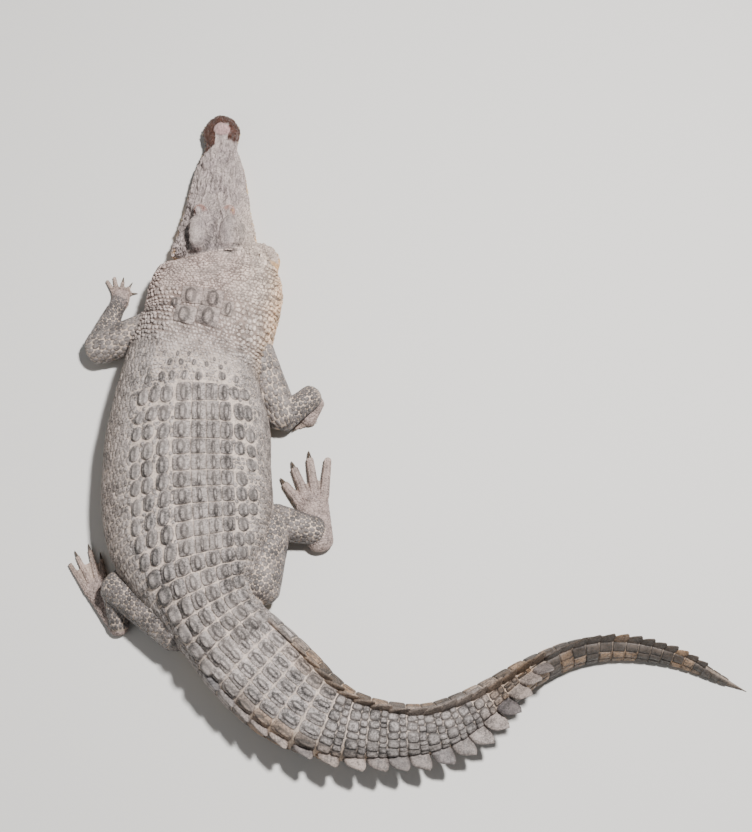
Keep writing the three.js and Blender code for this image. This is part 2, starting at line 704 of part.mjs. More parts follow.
const eyes = { left: -1, right: 1 };
const sockets = eyeSolid(-1, gap).add(eyeSolid(1, gap));
const skull = skullSolid().add(upperTeeth()).subtract(sockets);
addPart('head_upper', skull, headHide);
addPart('jaw_lower', lowerJawSolid().subtract(upperTeeth(gap)), headHide);
Object.entries(eyes).forEach(([side, way]) => addPart(`eye_${side}`, eyeSolid(way), eyeball));

const headClearance = skullSolid(gap).add(jawClearance());

// The room the lower jaw takes, with clearance, down to the floor.
function jawClearance() {
  const rings = headBacks.filter((back) => back > 0).map((back) => {
    const { half, mouth } = headAt(back);
    const outer = half - head.overbite + gap;
    return [[-outer, -jawRoom], [outer, -jawRoom], [outer, mouth + 1], [-outer, mouth + 1]]
      .map(([side, height]) => headPoint(grownBack(back, gap), side, height));
  });
  return solidOf(loft(rings));
}

const jowlBall = new THREE.SphereGeometry(1, jowl.sides, jowl.rings);
jowlBall.scale(jowl.across, jowl.along, jowl.up);
jowlBall.translate(jowl.x, jowl.y, jowl.z);

lengths.forEach(({ name, from, to }) => {
  let solid = bodyLength(from, to);
  if (name === 'neck') solid = solid.add(solidOf(jowlBall)).subtract(headClearance);
  else solid = withCrest(solid, from, to);
  addPart(name, solid, name === 'neck' ? headHide : hide);
});

// The flesh that the limbs grow from, with clearance.
const bodyClearance = lengths
  .filter(({ from }) => from <= tailFrom)
  .map(({ from, to }) => bodyLength(from, to, gap))
  .reduce((all, length) => all.add(length));

Object.entries(limbs).forEach(([limb, segments]) => {
  const side = limb.split('_')[1];
  const footName = limb.startsWith('fore') ? `hand_${side}` : `foot_${side}`;
  const [upper, lower] = segments;
  const upperSolid = segmentSolid(upper).subtract(bodyClearance);
  const lowerSolid = segmentSolid(lower).subtract(bodyClearance).subtract(segmentSolid(upper, gap));
  const foot = feet[footName];
  const footShape = footSolid(foot)
    .subtract(bodyClearance)
    .subtract(segmentSolid(upper, gap))
    .subtract(segmentSolid(lower, gap));
  addPart(`${upper.name}_${side}`, upperSolid, limbHide);
  addPart(`${lower.name}_${side}`, lowerSolid, limbHide);
  addPart(footName, footShape, limbHide);
  for (let i = 0; i < clawedDigits; i += 1) {
    addPart(`claw_${footName}_${i + 1}`, clawSolid(foot, i).subtract(footSolid(foot, gap)), horn);
  }
});

export default crocodile;
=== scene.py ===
import math
import bmesh
import bpy
import numpy as np
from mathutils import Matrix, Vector, noise
from mathutils.bvhtree import BVHTree
from mathutils.kdtree import KDTree


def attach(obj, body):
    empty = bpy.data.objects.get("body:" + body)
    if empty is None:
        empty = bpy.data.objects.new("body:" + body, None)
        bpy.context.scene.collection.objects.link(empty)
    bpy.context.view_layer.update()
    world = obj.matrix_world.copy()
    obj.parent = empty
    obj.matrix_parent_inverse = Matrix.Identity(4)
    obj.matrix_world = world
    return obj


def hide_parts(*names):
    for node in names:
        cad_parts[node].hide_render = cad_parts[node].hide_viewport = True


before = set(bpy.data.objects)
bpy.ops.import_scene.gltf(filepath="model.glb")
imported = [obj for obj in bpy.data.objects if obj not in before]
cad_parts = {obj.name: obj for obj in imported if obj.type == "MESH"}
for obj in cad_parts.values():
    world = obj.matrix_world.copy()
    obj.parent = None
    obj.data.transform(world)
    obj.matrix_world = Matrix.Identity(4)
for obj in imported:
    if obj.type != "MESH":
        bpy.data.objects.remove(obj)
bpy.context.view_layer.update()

print("frame loaded:", len(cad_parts), "nodes")

# The crocodile lies on its belly, head towards +Y, its right side towards +X.
# Body places run along the spine: 0 at the nape, 32 at the tail tip. Lengths here are in metres.

mm = 0.001

# Along the spine: plan x and y, half-width, height of the back, height of the widest line,
# sideways lean of the crown, roll in degrees, and how full the section is. The same body as the solids.
spineRows = [
    (78, 800, 132, 186, 96, 0, 0, 0.90), (88, 752, 192, 214, 104, 0, 0, 0.88),
    (86, 702, 238, 238, 110, 0, 0, 0.86), (81, 626, 251, 265, 118, 0, 0, 0.86),
    (70, 554, 248, 288, 124, 4, 0, 0.86), (56, 478, 245, 304, 130, 10, 0, 0.86),
    (28, 384, 248, 320, 136, 22, 0, 0.86), (4, 284, 259, 334, 140, 34, 0, 0.86),
    (-3, 176, 279, 344, 142, 38, 0, 0.86), (-1, 60, 301, 350, 144, 38, 0, 0.86),
    (-2, -70, 306, 352, 144, 40, 0, 0.86), (3, -184, 310, 348, 142, 42, 0, 0.86),
    (13, -294, 302, 340, 140, 40, 0, 0.86), (30, -394, 276, 329, 136, 32, 0, 0.84),
    (54, -486, 224, 316, 132, 20, 0, 0.82), (86, -566, 180, 304, 128, 10, 0, 0.80),
    (134, -643, 163, 294, 124, 0, 0, 0.78), (205, -725, 168, 284, 118, 0, 0, 0.76),
    (285, -802, 174, 272, 112, 0, 2, 0.76), (372, -878, 170, 260, 106, 0, 4, 0.76),
    (463, -942, 152, 246, 100, 0, 6, 0.78), (576, -988, 127, 232, 95, 0, 9, 0.80),
    (718, -1006, 103, 214, 88, 0, 12, 0.84), (862, -999, 88, 198, 82, 0, 15, 0.88),
    (984, -953, 78, 184, 76, 0, 15, 0.94), (1094, -887, 67, 170, 70, 0, 9, 1.00),
    (1216, -806, 53, 157, 64, 0, 0, 1.06), (1364, -735, 43, 143, 58, 0, -8, 1.10),
    (1504, -708, 37, 128, 52, 0, -12, 1.10), (1645, -716, 31, 110, 45, 0, -12, 1.10),
    (1780, -750, 24, 87, 36, 0, -10, 1.10), (1902, -808, 15, 52, 22, 0, -6, 1.05),
    (2006, -856, 5, 14, 6, 0, 0, 1.00),
]
spineTable = np.array(spineRows)
spineTable[:, :6] *= mm
spineEnd = len(spineRows) - 1
bellySag = 32 * mm
bellyRoundness = 0.8                                 # 1 is an ellipse, less is squarer
coatDepth = 4 * mm                                   # how far the skin lies under the solids


def smoothBetween(low, high, value):
    share = np.clip((value - low) / (high - low), 0, 1)
    return share * share * (3 - 2 * share)


def mix(start, end, share):
    return start + (end - start) * share


def rowAt(table, place, mirrorEnds=False):
    # every column of a table at some places, on a smooth curve through its rows
    last = len(table) - 1
    if mirrorEnds:
        table = np.vstack([2 * table[0] - table[1], table, 2 * table[-1] - table[-2]])
    else:
        table = np.vstack([table[0], table, table[-1]])
    place = np.asarray(place, dtype=float)
    low = np.clip(np.floor(place).astype(int), 0, last - 1)
    t = (place - low)[..., None]
    before, start, end, after = table[low], table[low + 1], table[low + 2], table[low + 3]
    slopeStart = (end - before) / 2
    slopeEnd = (after - start) / 2
    return (start + slopeStart * t + (3 * (end - start) - 2 * slopeStart - slopeEnd) * t ** 2
            + (2 * (start - end) + slopeStart + slopeEnd) * t ** 3)


def spineAt(place):
    place = np.clip(place, 0, spineEnd)
    return rowAt(spineTable, place, True)[..., :2]


def spineWays(place):
    # unit vectors in plan: along the spine towards the tail, and to the animal's right
    step = 0.03
    along = spineAt(np.minimum(place + step, spineEnd)) - spineAt(np.maximum(place - step, 0))
    along = along / np.linalg.norm(along, axis=-1, keepdims=True)
    return along, np.stack([-along[..., 1], along[..., 0]], axis=-1)


def signedPower(value, power):
    return np.sign(value) * np.abs(value) ** power


def bodyPoints(place, angle, lift=0.0):
    # points of the body's surface; the angle runs from the crown, positive to the animal's right
    row = rowAt(spineTable, np.clip(place, 0, spineEnd))
    half, top, mid, lean, roll, square = (row[..., i] for i in range(2, 8))
    half = np.maximum(half + lift, 0.001)
    above = np.cos(angle) >= 0
    reach = np.where(above, np.maximum(top + lift - mid, 0.001), mid + bellySag + lift)
    across = half * signedPower(np.sin(angle), square)
    rise = reach * signedPower(np.cos(angle), np.where(above, square, bellyRoundness))
    across = across + np.where(above, lean * (rise / reach) ** 2, 0)
    turn = np.radians(roll)
    sideways = across * np.cos(turn) - rise * np.sin(turn)
    upwards = across * np.sin(turn) + rise * np.cos(turn)
    plan = spineAt(place) + spineWays(place)[1] * sideways[..., None]
    height = np.maximum(mid + upwards, 0)
    return np.concatenate([plan, height[..., None]], axis=-1)


# Two rulers lie on the body: s, the length along the spine, and d, the length round from the crown.
rulers = {"places": 641, "roundReach": 0.64, "roundSteps": 321, "angles": 181}
rulerPlaces = np.linspace(0, spineEnd, rulers["places"])
roundSteps = np.linspace(-rulers["roundReach"], rulers["roundReach"], rulers["roundSteps"])


def walkedAlong(path):
    # the length walked along a path, at each of its points
    return np.concatenate([[0], np.cumsum(np.linalg.norm(np.diff(path, axis=0), axis=1))])


rulerLengths = walkedAlong(spineAt(rulerPlaces))


def makeRoundTable():
    # for each ruler place, the angle at each length round from the crown
    angles = np.linspace(-math.pi, math.pi, rulers["angles"])
    table = []
    for place in rulerPlaces:
        walked = walkedAlong(bodyPoints(np.full(angles.shape, place), angles))
        table.append(np.interp(roundSteps, walked - walked[len(angles) // 2], angles))
    return np.array(table)


roundTable = makeRoundTable()


def placeAt(s):
    return np.interp(s, rulerLengths, rulerPlaces)


def lengthAt(place):
    return float(np.interp(place, rulerPlaces, rulerLengths))


def angleAt(place, d):
    # the table's angle between its four nearest entries
    row = np.clip(place / spineEnd * (len(rulerPlaces) - 1), 0, len(rulerPlaces) - 1.001)
    column = np.clip((d - roundSteps[0]) / (roundSteps[1] - roundSteps[0]), 0, len(roundSteps) - 1.001)
    r, c = row.astype(int), column.astype(int)
    fr, fc = row - r, column - c
    near = roundTable[r, c] * (1 - fc) + roundTable[r, c + 1] * fc
    far = roundTable[r + 1, c] * (1 - fc) + roundTable[r + 1, c + 1] * fc
    return near * (1 - fr) + far * fr


def onBody(s, d, lift=0.0):
    place = placeAt(s)
    return bodyPoints(place, angleAt(place, d), lift)


print("spine:", round(rulerLengths[-1], 3), "m from nape to tail tip")

# The head, in rows back from the snout tip.
headMeasures = ("back", "half", "top", "mouth", "chin", "flat")
headRows = np.array([
    (0, 12, 54, 40, 26, 0), (9, 36, 68, 40, 12, 0), (28, 57, 78, 41, 4, 0), (66, 74, 86, 43, 0, 0),
    (104, 71, 87, 42, 0, 0), (142, 63, 89, 40, 0, 0), (176, 74, 96, 41, 0, 0), (222, 90, 106, 43, 0, 0),
    (282, 105, 113, 47, 0, 0), (350, 117, 122, 52, 0, 0.1), (418, 128, 146, 58, 0, 0.35),
    (470, 140, 184, 66, 0, 0.8), (520, 152, 202, 74, 0, 1), (580, 165, 205, 84, 0, 1),
    (634, 166, 203, 96, 0, 1),
]) * np.array([mm, mm, mm, mm, mm, 1])

head = {
    "tip": (0.078, 1.408), "turn": -0.013, "length": 0.634, "tableHalf": 0.077,
    "eyeBack": 0.470, "eyeSide": 0.055, "eyeHeight": 0.178, "eyeRadius": 0.017,
    "browSide": 0.050, "browRadius": 0.0374, "browRise": 0.015,
    "nostrilBack": 0.078, "nostrilRadius": 0.030, "nostrilRise": 0.012,
    "domeWidth": 2.3, "domeHeight": 0.62, "cheekTop": 0.86, "cheekSlope": 0.95,
    "lip": 0.004, "overbite": 0.005, "crowding": 1.3,  # crowding draws the rings together at the snout
}


def headAt(back, *wanted):
    # the measures asked for, at some distances from the snout tip
    backs = headRows[:, 0]
    low = np.clip(np.searchsorted(backs, back, side="right") - 1, 0, len(backs) - 2)
    place = low + (back - backs[low]) / (backs[low + 1] - backs[low])
    row = rowAt(headRows, np.clip(place, 0, len(backs) - 1))
    return [row[..., headMeasures.index(measure)] for measure in wanted]


def headToWorld(back, side, height):
    turn = head["turn"]
    x = head["tip"][0] + side * math.cos(turn) + back * math.sin(turn)
    y = head["tip"][1] + side * math.sin(turn) - back * math.cos(turn)
    return np.stack(np.broadcast_arrays(x, y, height), axis=-1)


def worldToHead(points):
    turn = head["turn"]
    x = points[:, 0] - head["tip"][0]
    y = points[:, 1] - head["tip"][1]
    return x * math.sin(turn) - y * math.cos(turn), x * math.cos(turn) + y * math.sin(turn), points[:, 2]


def mound(along, across, longRadius, wideRadius, turn=0.0):
    # a smooth hump, 1 at its middle and 0 at its rim
    a = along * math.cos(turn) + across * math.sin(turn)
    b = across * math.cos(turn) - along * math.sin(turn)
    share = np.minimum(np.hypot(a / longRadius, b / wideRadius), 1)
    return (1 - share ** 2) ** 2


def headCreases(side, back, height):
    # thin lines that run mostly along the head, 1 in the crease and 0 beside it
    along = np.stack([side, back, height], axis=-1)
    line = 1 - smoothBetween(0.02, 0.09, np.abs(noiseAt(along, (92, 26, 60), 19.0, 2)))
    return line * (0.55 + 0.45 * smoothBetween(0.10, 0.17, back))


def roofHeight(back, side):
    # a dome on the snout, a flat table with sloping cheeks behind the eyes
    half, top, mouth, flat = headAt(back, "half", "top", "mouth", "flat")
    share = np.minimum(np.abs(side) / half, 1)
    dome = (1 - share ** head["domeWidth"]) ** head["domeHeight"]
    edge = head["tableHalf"] / half
    slope = np.clip((share - edge) / np.maximum(1 - edge, 0.02), 0, 1)
    table = np.where(share < edge, 1, head["cheekTop"] * (1 - slope) ** head["cheekSlope"])
    browRadius = head["browRadius"]
    brow = mound(back - head["eyeBack"], np.abs(side) - head["browSide"], browRadius, browRadius)
    nostril = mound(back - head["nostrilBack"], side, head["nostrilRadius"], head["nostrilRadius"])
    roof = mouth + (top - mouth) * (dome * (1 - flat) + table * flat)
    return roof + brow * head["browRise"] + nostril * head["nostrilRise"]


def meshFrom(bm, name):
    mesh = bpy.data.meshes.new(name)
    bm.to_mesh(mesh)
    bm.free()
    return mesh


def joinedMesh(meshes, name):
    bm = bmesh.new()
    for mesh in meshes:
        bm.from_mesh(mesh)
    return meshFrom(bm, name)


def tubeMesh(name, longCount, roundCount, pointsOf):
    # a grid rolled into a tube by pointsOf(share along, share round), its seam welded and its ends closed
    bm = bmesh.new()
    bmesh.ops.create_grid(bm, x_segments=longCount, y_segments=roundCount, size=0.5)
    flat = np.array([v.co[:2] for v in bm.verts]) + 0.5
    for vert, point in zip(bm.verts, pointsOf(flat[:, 0], flat[:, 1])):
        vert.co = point
    bmesh.ops.remove_doubles(bm, verts=bm.verts, dist=1e-5)
    bmesh.ops.holes_fill(bm, edges=[e for e in bm.edges if e.is_boundary], sides=0)
    bmesh.ops.recalc_face_normals(bm, faces=bm.faces)
    return meshFrom(bm, name)


def bodyTube(longShare, roundShare):
    return bodyPoints(longShare * spineEnd, (roundShare * 2 - 1) * math.pi, -coatDepth)


skull = {"tip": 0.0005, "roofShare": 0.75, "palateEdge": 0.1, "palateDepth": 0.003}
jaw = {"tip": 0.006, "arcShare": 0.7, "roundness": 0.7, "chinDepth": 0.014, "palateRise": 0.003}


def skullTube(longShare, roundShare):
    # each ring goes over the roof and comes back under the palate
    back = skull["tip"] + head["length"] * longShare ** head["crowding"]
    half, mouth = headAt(back, "half", "mouth")
    arc = np.clip(roundShare / skull["roofShare"], 0, 1) * 2 - 1
    under = np.clip((roundShare - skull["roofShare"]) / (1 - skull["roofShare"]), 0, 1)
    edge = skull["palateEdge"]
    inwards = half * (1 - 2 * np.clip((under - edge) / (1 - 2 * edge), 0, 1))
    side = np.where(under > 0, inwards, half * np.sin(arc * math.pi / 2))
    rim = mouth + head["lip"]
    roof = np.maximum(roofHeight(back, side), rim)
    palate = rim - (head["lip"] + skull["palateDepth"]) * smoothBetween(0, edge, np.minimum(under, 1 - under))
    return headToWorld(back, side, np.where(under > 0, palate, roof))


def jawTube(longShare, roundShare):
    # each ring goes round below the chin and comes back over the palate
    back = jaw["tip"] + (head["length"] - jaw["tip"]) * longShare ** head["crowding"]
    half, mouth, chin = headAt(back, "half", "mouth", "chin")
    outer = half - head["overbite"]
    angle = np.clip(roundShare / jaw["arcShare"], 0, 1) * math.pi
    over = np.clip((roundShare - jaw["arcShare"]) / (1 - jaw["arcShare"]), 0, 1)
    side = np.where(over > 0, outer * (2 * over - 1), outer * signedPower(np.cos(angle), jaw["roundness"]))
    sag = (mouth - chin + jaw["chinDepth"]) * np.abs(np.sin(angle)) ** jaw["roundness"]
    below = np.maximum(chin, mouth - sag)
    above = mouth + jaw["palateRise"] * smoothBetween(0, 0.2, np.minimum(over, 1 - over))
    return headToWorld(back, side, np.where(over > 0, above, below))


# Limbs. Each segment: start and end, half-width and half-height at both, in millimetres.
limbs = {
    "foreleg_left": [
        ("upper_arm", (-170, 470, 120), (-362, 424, 66), (76, 60), (82, 58)),
        ("forearm", (-362, 432, 62), (-294, 634, 30), (53, 30), (52, 28)),
    ],
    "foreleg_right": [
        ("upper_arm", (238, 372, 130), (338, 150, 70), (74, 58), (82, 60)),
        ("forearm", (338, 148, 66), (446, 232, 78), (54, 42), (54, 38)),
    ],
    "hindleg_left": [
        ("thigh", (-20, -655, 118), (-246, -494, 96), (82, 62), (92, 72)),
        ("shank", (-252, -496, 84), (-238, -622, 34), (54, 33), (70, 34)),
    ],
    "hindleg_right": [
        ("thigh", (262, -500, 124), (308, -266, 104), (86, 68), (96, 80)),
        ("shank", (322, -256, 92), (462, -278, 50), (72, 48), (76, 46)),
    ],
}

# Hands and feet. Wrist or heel, end of the palm, widths and heights there, digit tips, inner digit first.
feet = {
    "hand_left": {
        "root": (-293, 622, 26), "palm": (-291, 668, 17), "wide": (34, 38), "tall": (28, 18),
        "digits": [(-252, 668), (-262, 696), (-288, 716), (-322, 734), (-350, 722)],
        "digitRadius": 10, "clawLength": 18, "web": 0.3,
    },
    "hand_right": {
        "root": (458, 224, 30), "palm": (426, 164, 20), "wide": (34, 38), "tall": (34, 22),
        "digits": [(356, 150), (368, 132), (384, 126), (402, 132), (422, 142)],
        "digitRadius": 10, "clawLength": 16, "web": 0.3,
    },
    "foot_left": {
        "root": (-236, -632, 24), "palm": (-330, -478, 16), "wide": (34, 50), "tall": (26, 16),
        "digits": [(-318, -374), (-360, -342), (-404, -366), (-430, -394)],
        "digitRadius": 12, "clawLength": 22, "web": 0.72,
    },
    "foot_right": {
        "root": (482, -318, 36), "palm": (446, -150, 20), "wide": (46, 66), "tall": (38, 20),
        "digits": [(350, -94), (382, -34), (438, 4), (505, 2)],
        "digitRadius": 19, "clawLength": 22, "web": 0.45,
    },
}
clawedDigits = 3
digitShape = {                                       # shares of the digit's radius, but for the first two
    "spread": 0.72, "rootLift": 2, "tipHeight": 0.7, "wide": (1.15, 0.84), "tall": (1.2, 0.7),
    "webUnder": 0.2, "webOver": 0.95,
}
jowl = {"centre": (0.232, 0.756, 0.078), "radii": (0.090, 0.088, 0.070)}


class Segment:
    # a swelling tube with rounded ends, pressed flat where it meets the floor
    def __init__(self, start, end, wide, tall):
        a, b = np.array(start) * mm, np.array(end) * mm
        self.along = (b - a) / np.linalg.norm(b - a)
        self.across = np.array([self.along[1], -self.along[0], 0.0])
        self.across /= np.linalg.norm(self.across)
        self.over = np.cross(self.across, self.along)
        self.wide, self.tall = np.array(wide) * mm, np.array(tall) * mm
        self.caps = self.wide * 0.75                 # how far the rounded ends reach
        self.start = a - self.along * self.caps[0]
        self.length = np.linalg.norm(b - a) + self.caps.sum()
        self.girth = math.pi * (self.wide.mean() + self.tall.mean())

    def points(self, along, around, lift=0.0):
        # along in metres from the start cap, around in metres of the mean girth
        share = np.clip(along / self.length, 0.0, 1.0)
        fromEnd = np.minimum(np.minimum(along / self.caps[0], (self.length - along) / self.caps[1]), 1)
        rounded = np.sqrt(np.maximum(1 - (1 - np.maximum(fromEnd, 0)) ** 2, 0.0004))
        halfWide = mix(*self.wide, share) * rounded + lift
        halfTall = mix(*self.tall, share) * rounded + lift
        angle = around / self.girth * 2 * math.pi
        point = (self.start + self.along * (share * self.length)[..., None]
                 + self.across * (halfWide * np.cos(angle))[..., None]
                 + self.over * (halfTall * np.sin(angle))[..., None])
        point[..., 2] = np.maximum(point[..., 2], 0)
        return point

    def tube(self, longShare, roundShare):
        along = self.length * (1 - np.cos(longShare * math.pi)) / 2
        return self.points(along, roundShare * self.girth, -coatDepth / 2)


def digitRoots(foot):
    palm, root = np.array(foot["palm"][:2], float), np.array(foot["root"][:2], float)
    along = (palm - root) / np.linalg.norm(palm - root)
    across = np.array([-along[1], along[0]])
    way = np.sign((np.array(foot["digits"][0]) - palm) @ across)
    count = len(foot["digits"])
    spread = across * way * foot["wide"][1] * digitShape["spread"]
    return [palm + spread * (1 - 2 * i / (count - 1)) for i in range(count)]


segments = {}
for limb, parts in limbs.items():
    for name, *sizes in parts:
        segments[name + "_" + limb.split("_")[1]] = Segment(*sizes)
digits = {}
for footName, foot in feet.items():
    segments[footName] = Segment(foot["root"], foot["palm"], foot["wide"], foot["tall"])
    r = foot["digitRadius"]
    for i, (base, tip) in enumerate(zip(digitRoots(foot), foot["digits"])):
        digits[footName + "_" + str(i + 1)] = Segment(
            (*base, r + digitShape["rootLift"]), (*tip, r * digitShape["tipHeight"]),
            [r * share for share in digitShape["wide"]], [r * share for share in digitShape["tall"]])


def webMesh(foot, i):
    # a thin web between two neighbouring digits, from a cube whose corners move to the roots and reaches
    roots = digitRoots(foot)
    near = roots[i:i + 2]
    far = [mix(root, np.array(tip), foot["web"]) for root, tip in zip(near, foot["digits"][i:i + 2])]
    corners = {(-1, -1): near[0], (1, -1): far[0], (1, 1): far[1], (-1, 1): near[1]}
    under, over = [digitShape[side] * foot["digitRadius"] for side in ("webUnder", "webOver")]
    bm = bmesh.new()
    bmesh.ops.create_cube(bm, size=2)
    for vert in bm.verts:
        x, y = corners[(round(vert.co.x), round(vert.co.y))] * mm
        vert.co = (x, y, (under if vert.co.z < 0 else over) * mm)
    bmesh.ops.recalc_face_normals(bm, faces=bm.faces)
    return meshFrom(bm, "web")


def ballMesh(centre, radii):
    bm = bmesh.new()
    bmesh.ops.create_uvsphere(bm, u_segments=48, v_segments=28, radius=1)
    for vert in bm.verts:
        vert.co = [c + r * v for c, r, v in zip(centre, radii, vert.co)]
    return meshFrom(bm, "ball")


def meshPoints(mesh):
    points = np.empty(len(mesh.vertices) * 3, np.float32)
    mesh.vertices.foreach_get("co", points)
    return points.reshape(-1, 3).astype(float)


def setPoints(mesh, points):
    mesh.vertices.foreach_set("co", points.astype(np.float32).ravel())
    mesh.update()


def meshNormals(mesh):
    normals = np.empty(len(mesh.vertices) * 3, np.float32)
    mesh.vertex_normals.foreach_get("vector", normals)
    return normals.reshape(-1, 3).astype(float)


def placed(name, mesh):
    piece = bpy.data.objects.new(name, mesh)
    bpy.context.scene.collection.objects.link(piece)
    return piece


def finished(piece, modifiers):
    # the piece's mesh with its modifiers applied, and none left on it
    for kind, settings in modifiers:
        modifier = piece.modifiers.new(kind.lower(), kind)
        for key, value in settings.items():
            setattr(modifier, key, value)
    shown = piece.evaluated_get(bpy.context.evaluated_depsgraph_get())
    mesh = bpy.data.meshes.new_from_object(shown)
    piece.modifiers.clear()
    piece.data = mesh
    return mesh


# All the flesh is one skin: closed shapes that overlap, joined by a fine remesh.
skin = {"voxel": 0.004, "rounds": 6, "triangles": 190000}
fleshParts = [tubeMesh("body", 900, 150, bodyTube), tubeMesh("skull", 260, 160, skullTube),
              tubeMesh("jaw", 260, 130, jawTube), ballMesh(**jowl)]
fleshParts += [tubeMesh(name, 70, 60, part.tube) for name, part in segments.items()]
fleshParts += [tubeMesh(name, 30, 24, part.tube) for name, part in digits.items()]
fleshParts += [webMesh(foot, i) for foot in feet.values() for i in range(len(foot["digits"]) - 1)]
skinPiece = placed("crocodileSkin", joinedMesh(fleshParts, "crocodileSkin"))
mesh = finished(skinPiece, [
    ("REMESH", {"mode": "VOXEL", "voxel_size": skin["voxel"]}),
    ("SMOOTH", {"factor": 0.5, "iterations": skin["rounds"]}),
])
print("skin joined:", len(mesh.vertices), "points")

# Head detail: bony relief, eyelids and wrinkles, moved into a finer mesh.
headRelief = [                                       # back, side, long, wide, turn, rise; each on both sides
    (0.238, 0.046, 0.030, 0.024, 0.3, 0.019), (0.206, 0.024, 0.030, 0.013, 0.2, 0.009),
    (0.262, 0.074, 0.044, 0.018, 0.1, 0.005), (0.312, 0.060, 0.060, 0.016, 0.1, 0.005),
    (0.372, 0.040, 0.085, 0.012, -0.16, 0.013), (0.340, 0.018, 0.070, 0.010, 0.0, 0.007),
    (0.425, 0.046, 0.050, 0.018, -0.1, 0.010), (0.412, 0.092, 0.070, 0.020, 0.1, 0.008),
    (0.272, 0.020, 0.026, 0.014, 0.4, 0.007), (0.300, 0.040, 0.024, 0.016, 0.6, 0.006),
    (0.470, 0.060, 0.040, 0.034, 0.0, 0.010), (0.190, 0.052, 0.026, 0.016, 0.2, 0.007),
    (0.574, 0.060, 0.074, 0.032, 0.16, 0.013), (0.520, 0.046, 0.040, 0.024, 0.2, 0.006),
    (0.622, 0.074, 0.026, 0.022, 0.0, 0.010), (0.548, 0.000, 0.060, 0.022, 0.0, -0.014),
    (0.604, 0.000, 0.050, 0.026, 0.0, -0.006), (0.452, 0.000, 0.070, 0.024, 0.0, -0.005),
    (0.480, 0.092, 0.050, 0.030, 0.1, -0.016), (0.560, 0.098, 0.080, 0.012, 0.06, -0.013),
    (0.150, 0.000, 0.050, 0.030, 0.0, -0.006), (0.166, 0.032, 0.050, 0.012, 0.2, 0.004),
    (0.590, 0.138, 0.070, 0.034, 0.1, 0.007), (0.360, 0.090, 0.070, 0.016, 0.1, -0.005),
]
headRises = {                                        # how high or deep each kind of relief is, in metres
    "disc": 0.004, "nostrilRim": 0.0025, "nostrilSlit": 0.009, "jawLine": 0.006, "gumWave": 0.004,
    "lobe": 0.011, "bone": 0.0072, "grain": 0.0016, "ridges": 0.0078, "creases": 0.0012, "cells": 0.0042,
    "napeStep": 0.004, "napeCorner": 0.010,
}
humps = {                                            # back, side, long, wide, turn; each on both sides
    "nostrilDisc": (0.078, 0.0, 0.034, 0.036, 0.0), "nostrilSlit": (0.074, 0.013, 0.011, 0.006, 0.5),
    "nostrilRim": (0.074, 0.013, 0.017, 0.011, 0.5), "lobe": (0.566, 0.058, 0.088, 0.044, -0.16),
    "roundLobe": (0.572, 0.060, 0.102, 0.056, -0.16),
}
napeRounds = [(0.61, 0.86, 40), (0.63, 0.82, 80), (0.64, 0.78, 120)]  # from, to, rounds of smoothing
lids = {
    "over": 0.0028, "under": 0.006, "openLong": 0.86, "openTall": 0.40, "brim": 0.0022, "slack": 0.004,
    "fadeFrom": 0.022, "reach": 0.034,
}
eyeGaze = Vector((-0.30, 0.80, 0.52)).normalized()   # back, outwards, up


def headWeight(points):
    # 1 on the head, fading out behind the skull and on to the neck
    back = worldToHead(points)[0]
    return np.where(points[:, 1] > 0.70, 1 - smoothBetween(0.640, 0.664, back), 0.0)


def hump(name, back, side):
    humpBack, humpSide, longRadius, wideRadius, turn = humps[name]
    return mound(back - humpBack, np.abs(side) - humpSide, longRadius, wideRadius, turn)


def noiseAt(points, scales, seed=0.0, octaves=3):
    scaled = points * np.asarray(scales) + seed
    return np.array([noise.fractal(Vector(p), 0.9, 2.1, octaves) for p in scaled])


def cellEdges(points, scales, width):
    # 0 along the seams between rounded cells, 1 inside them
    found = np.empty(len(points))
    for i, p in enumerate(points * np.asarray(scales)):
        near = noise.voronoi(Vector(p))[0]
        found[i] = near[1] - near[0]
    return smoothBetween(0.0, width, found)


def snoutTipShare(back):
    return 1 - smoothBetween(0.10, 0.17, back)


def boneLift(back, side, height, lobe):
    # lengthwise wrinkles on the snout and cheeks, rough bone between, all fainter on the skull table
    along = np.stack([side, back, height], axis=1)
    bony = noiseAt(along, (46, 21, 30), 3.1, 2)
    fine = noiseAt(along, (150, 52, 90), 7.7, 2)
    ridged = 1 - np.abs(noiseAt(along, (64, 17, 40), 11.3, 2))
    table = smoothBetween(0.475, 0.52, back) * (1 - smoothBetween(0.085, 0.105, np.abs(side)))
    rough = (1 - 0.6 * table) * (1 - 0.35 * lobe) * (1 - 0.75 * snoutTipShare(back))
    relief = bony * headRises["bone"] + fine * headRises["grain"] + (ridged - 0.8) * headRises["ridges"]
    return rough * relief - headCreases(side, back, height) * headRises["creases"]


def cellLift(back, side, height, upper, flank, lobe):
    # rounded scales on the flanks of the head and behind the eyes
    cells = cellEdges(np.stack([side * 1.25, back * 0.62, height * 1.3], axis=1), (78, 78, 78), 0.32)
    cheek = smoothBetween(0.40, 0.56, back) * (1 - smoothBetween(0.0, 0.5, hump("nostrilDisc", back, side)))
    share = np.clip(flank + upper * (0.15 + 0.75 * cheek * (1 - lobe)), 0, 1)
    return (cells - 0.7) * headRises["cells"] * share * (1 - 0.5 * snoutTipShare(back))


def jawLineLift(back, height):
    # the groove between the jaws, with the gum's waves along it
    mouth = headAt(np.clip(back, 0, head["length"]), "mouth")[0]
    wave = headRises["gumWave"] * np.sin(back * 62) * (1 - smoothBetween(0.40, 0.52, back))
    closeness = np.exp(-((height - mouth - wave) / 0.0032) ** 2)
    return -closeness * headRises["jawLine"] * (1 - smoothBetween(0.575, 0.61, back))


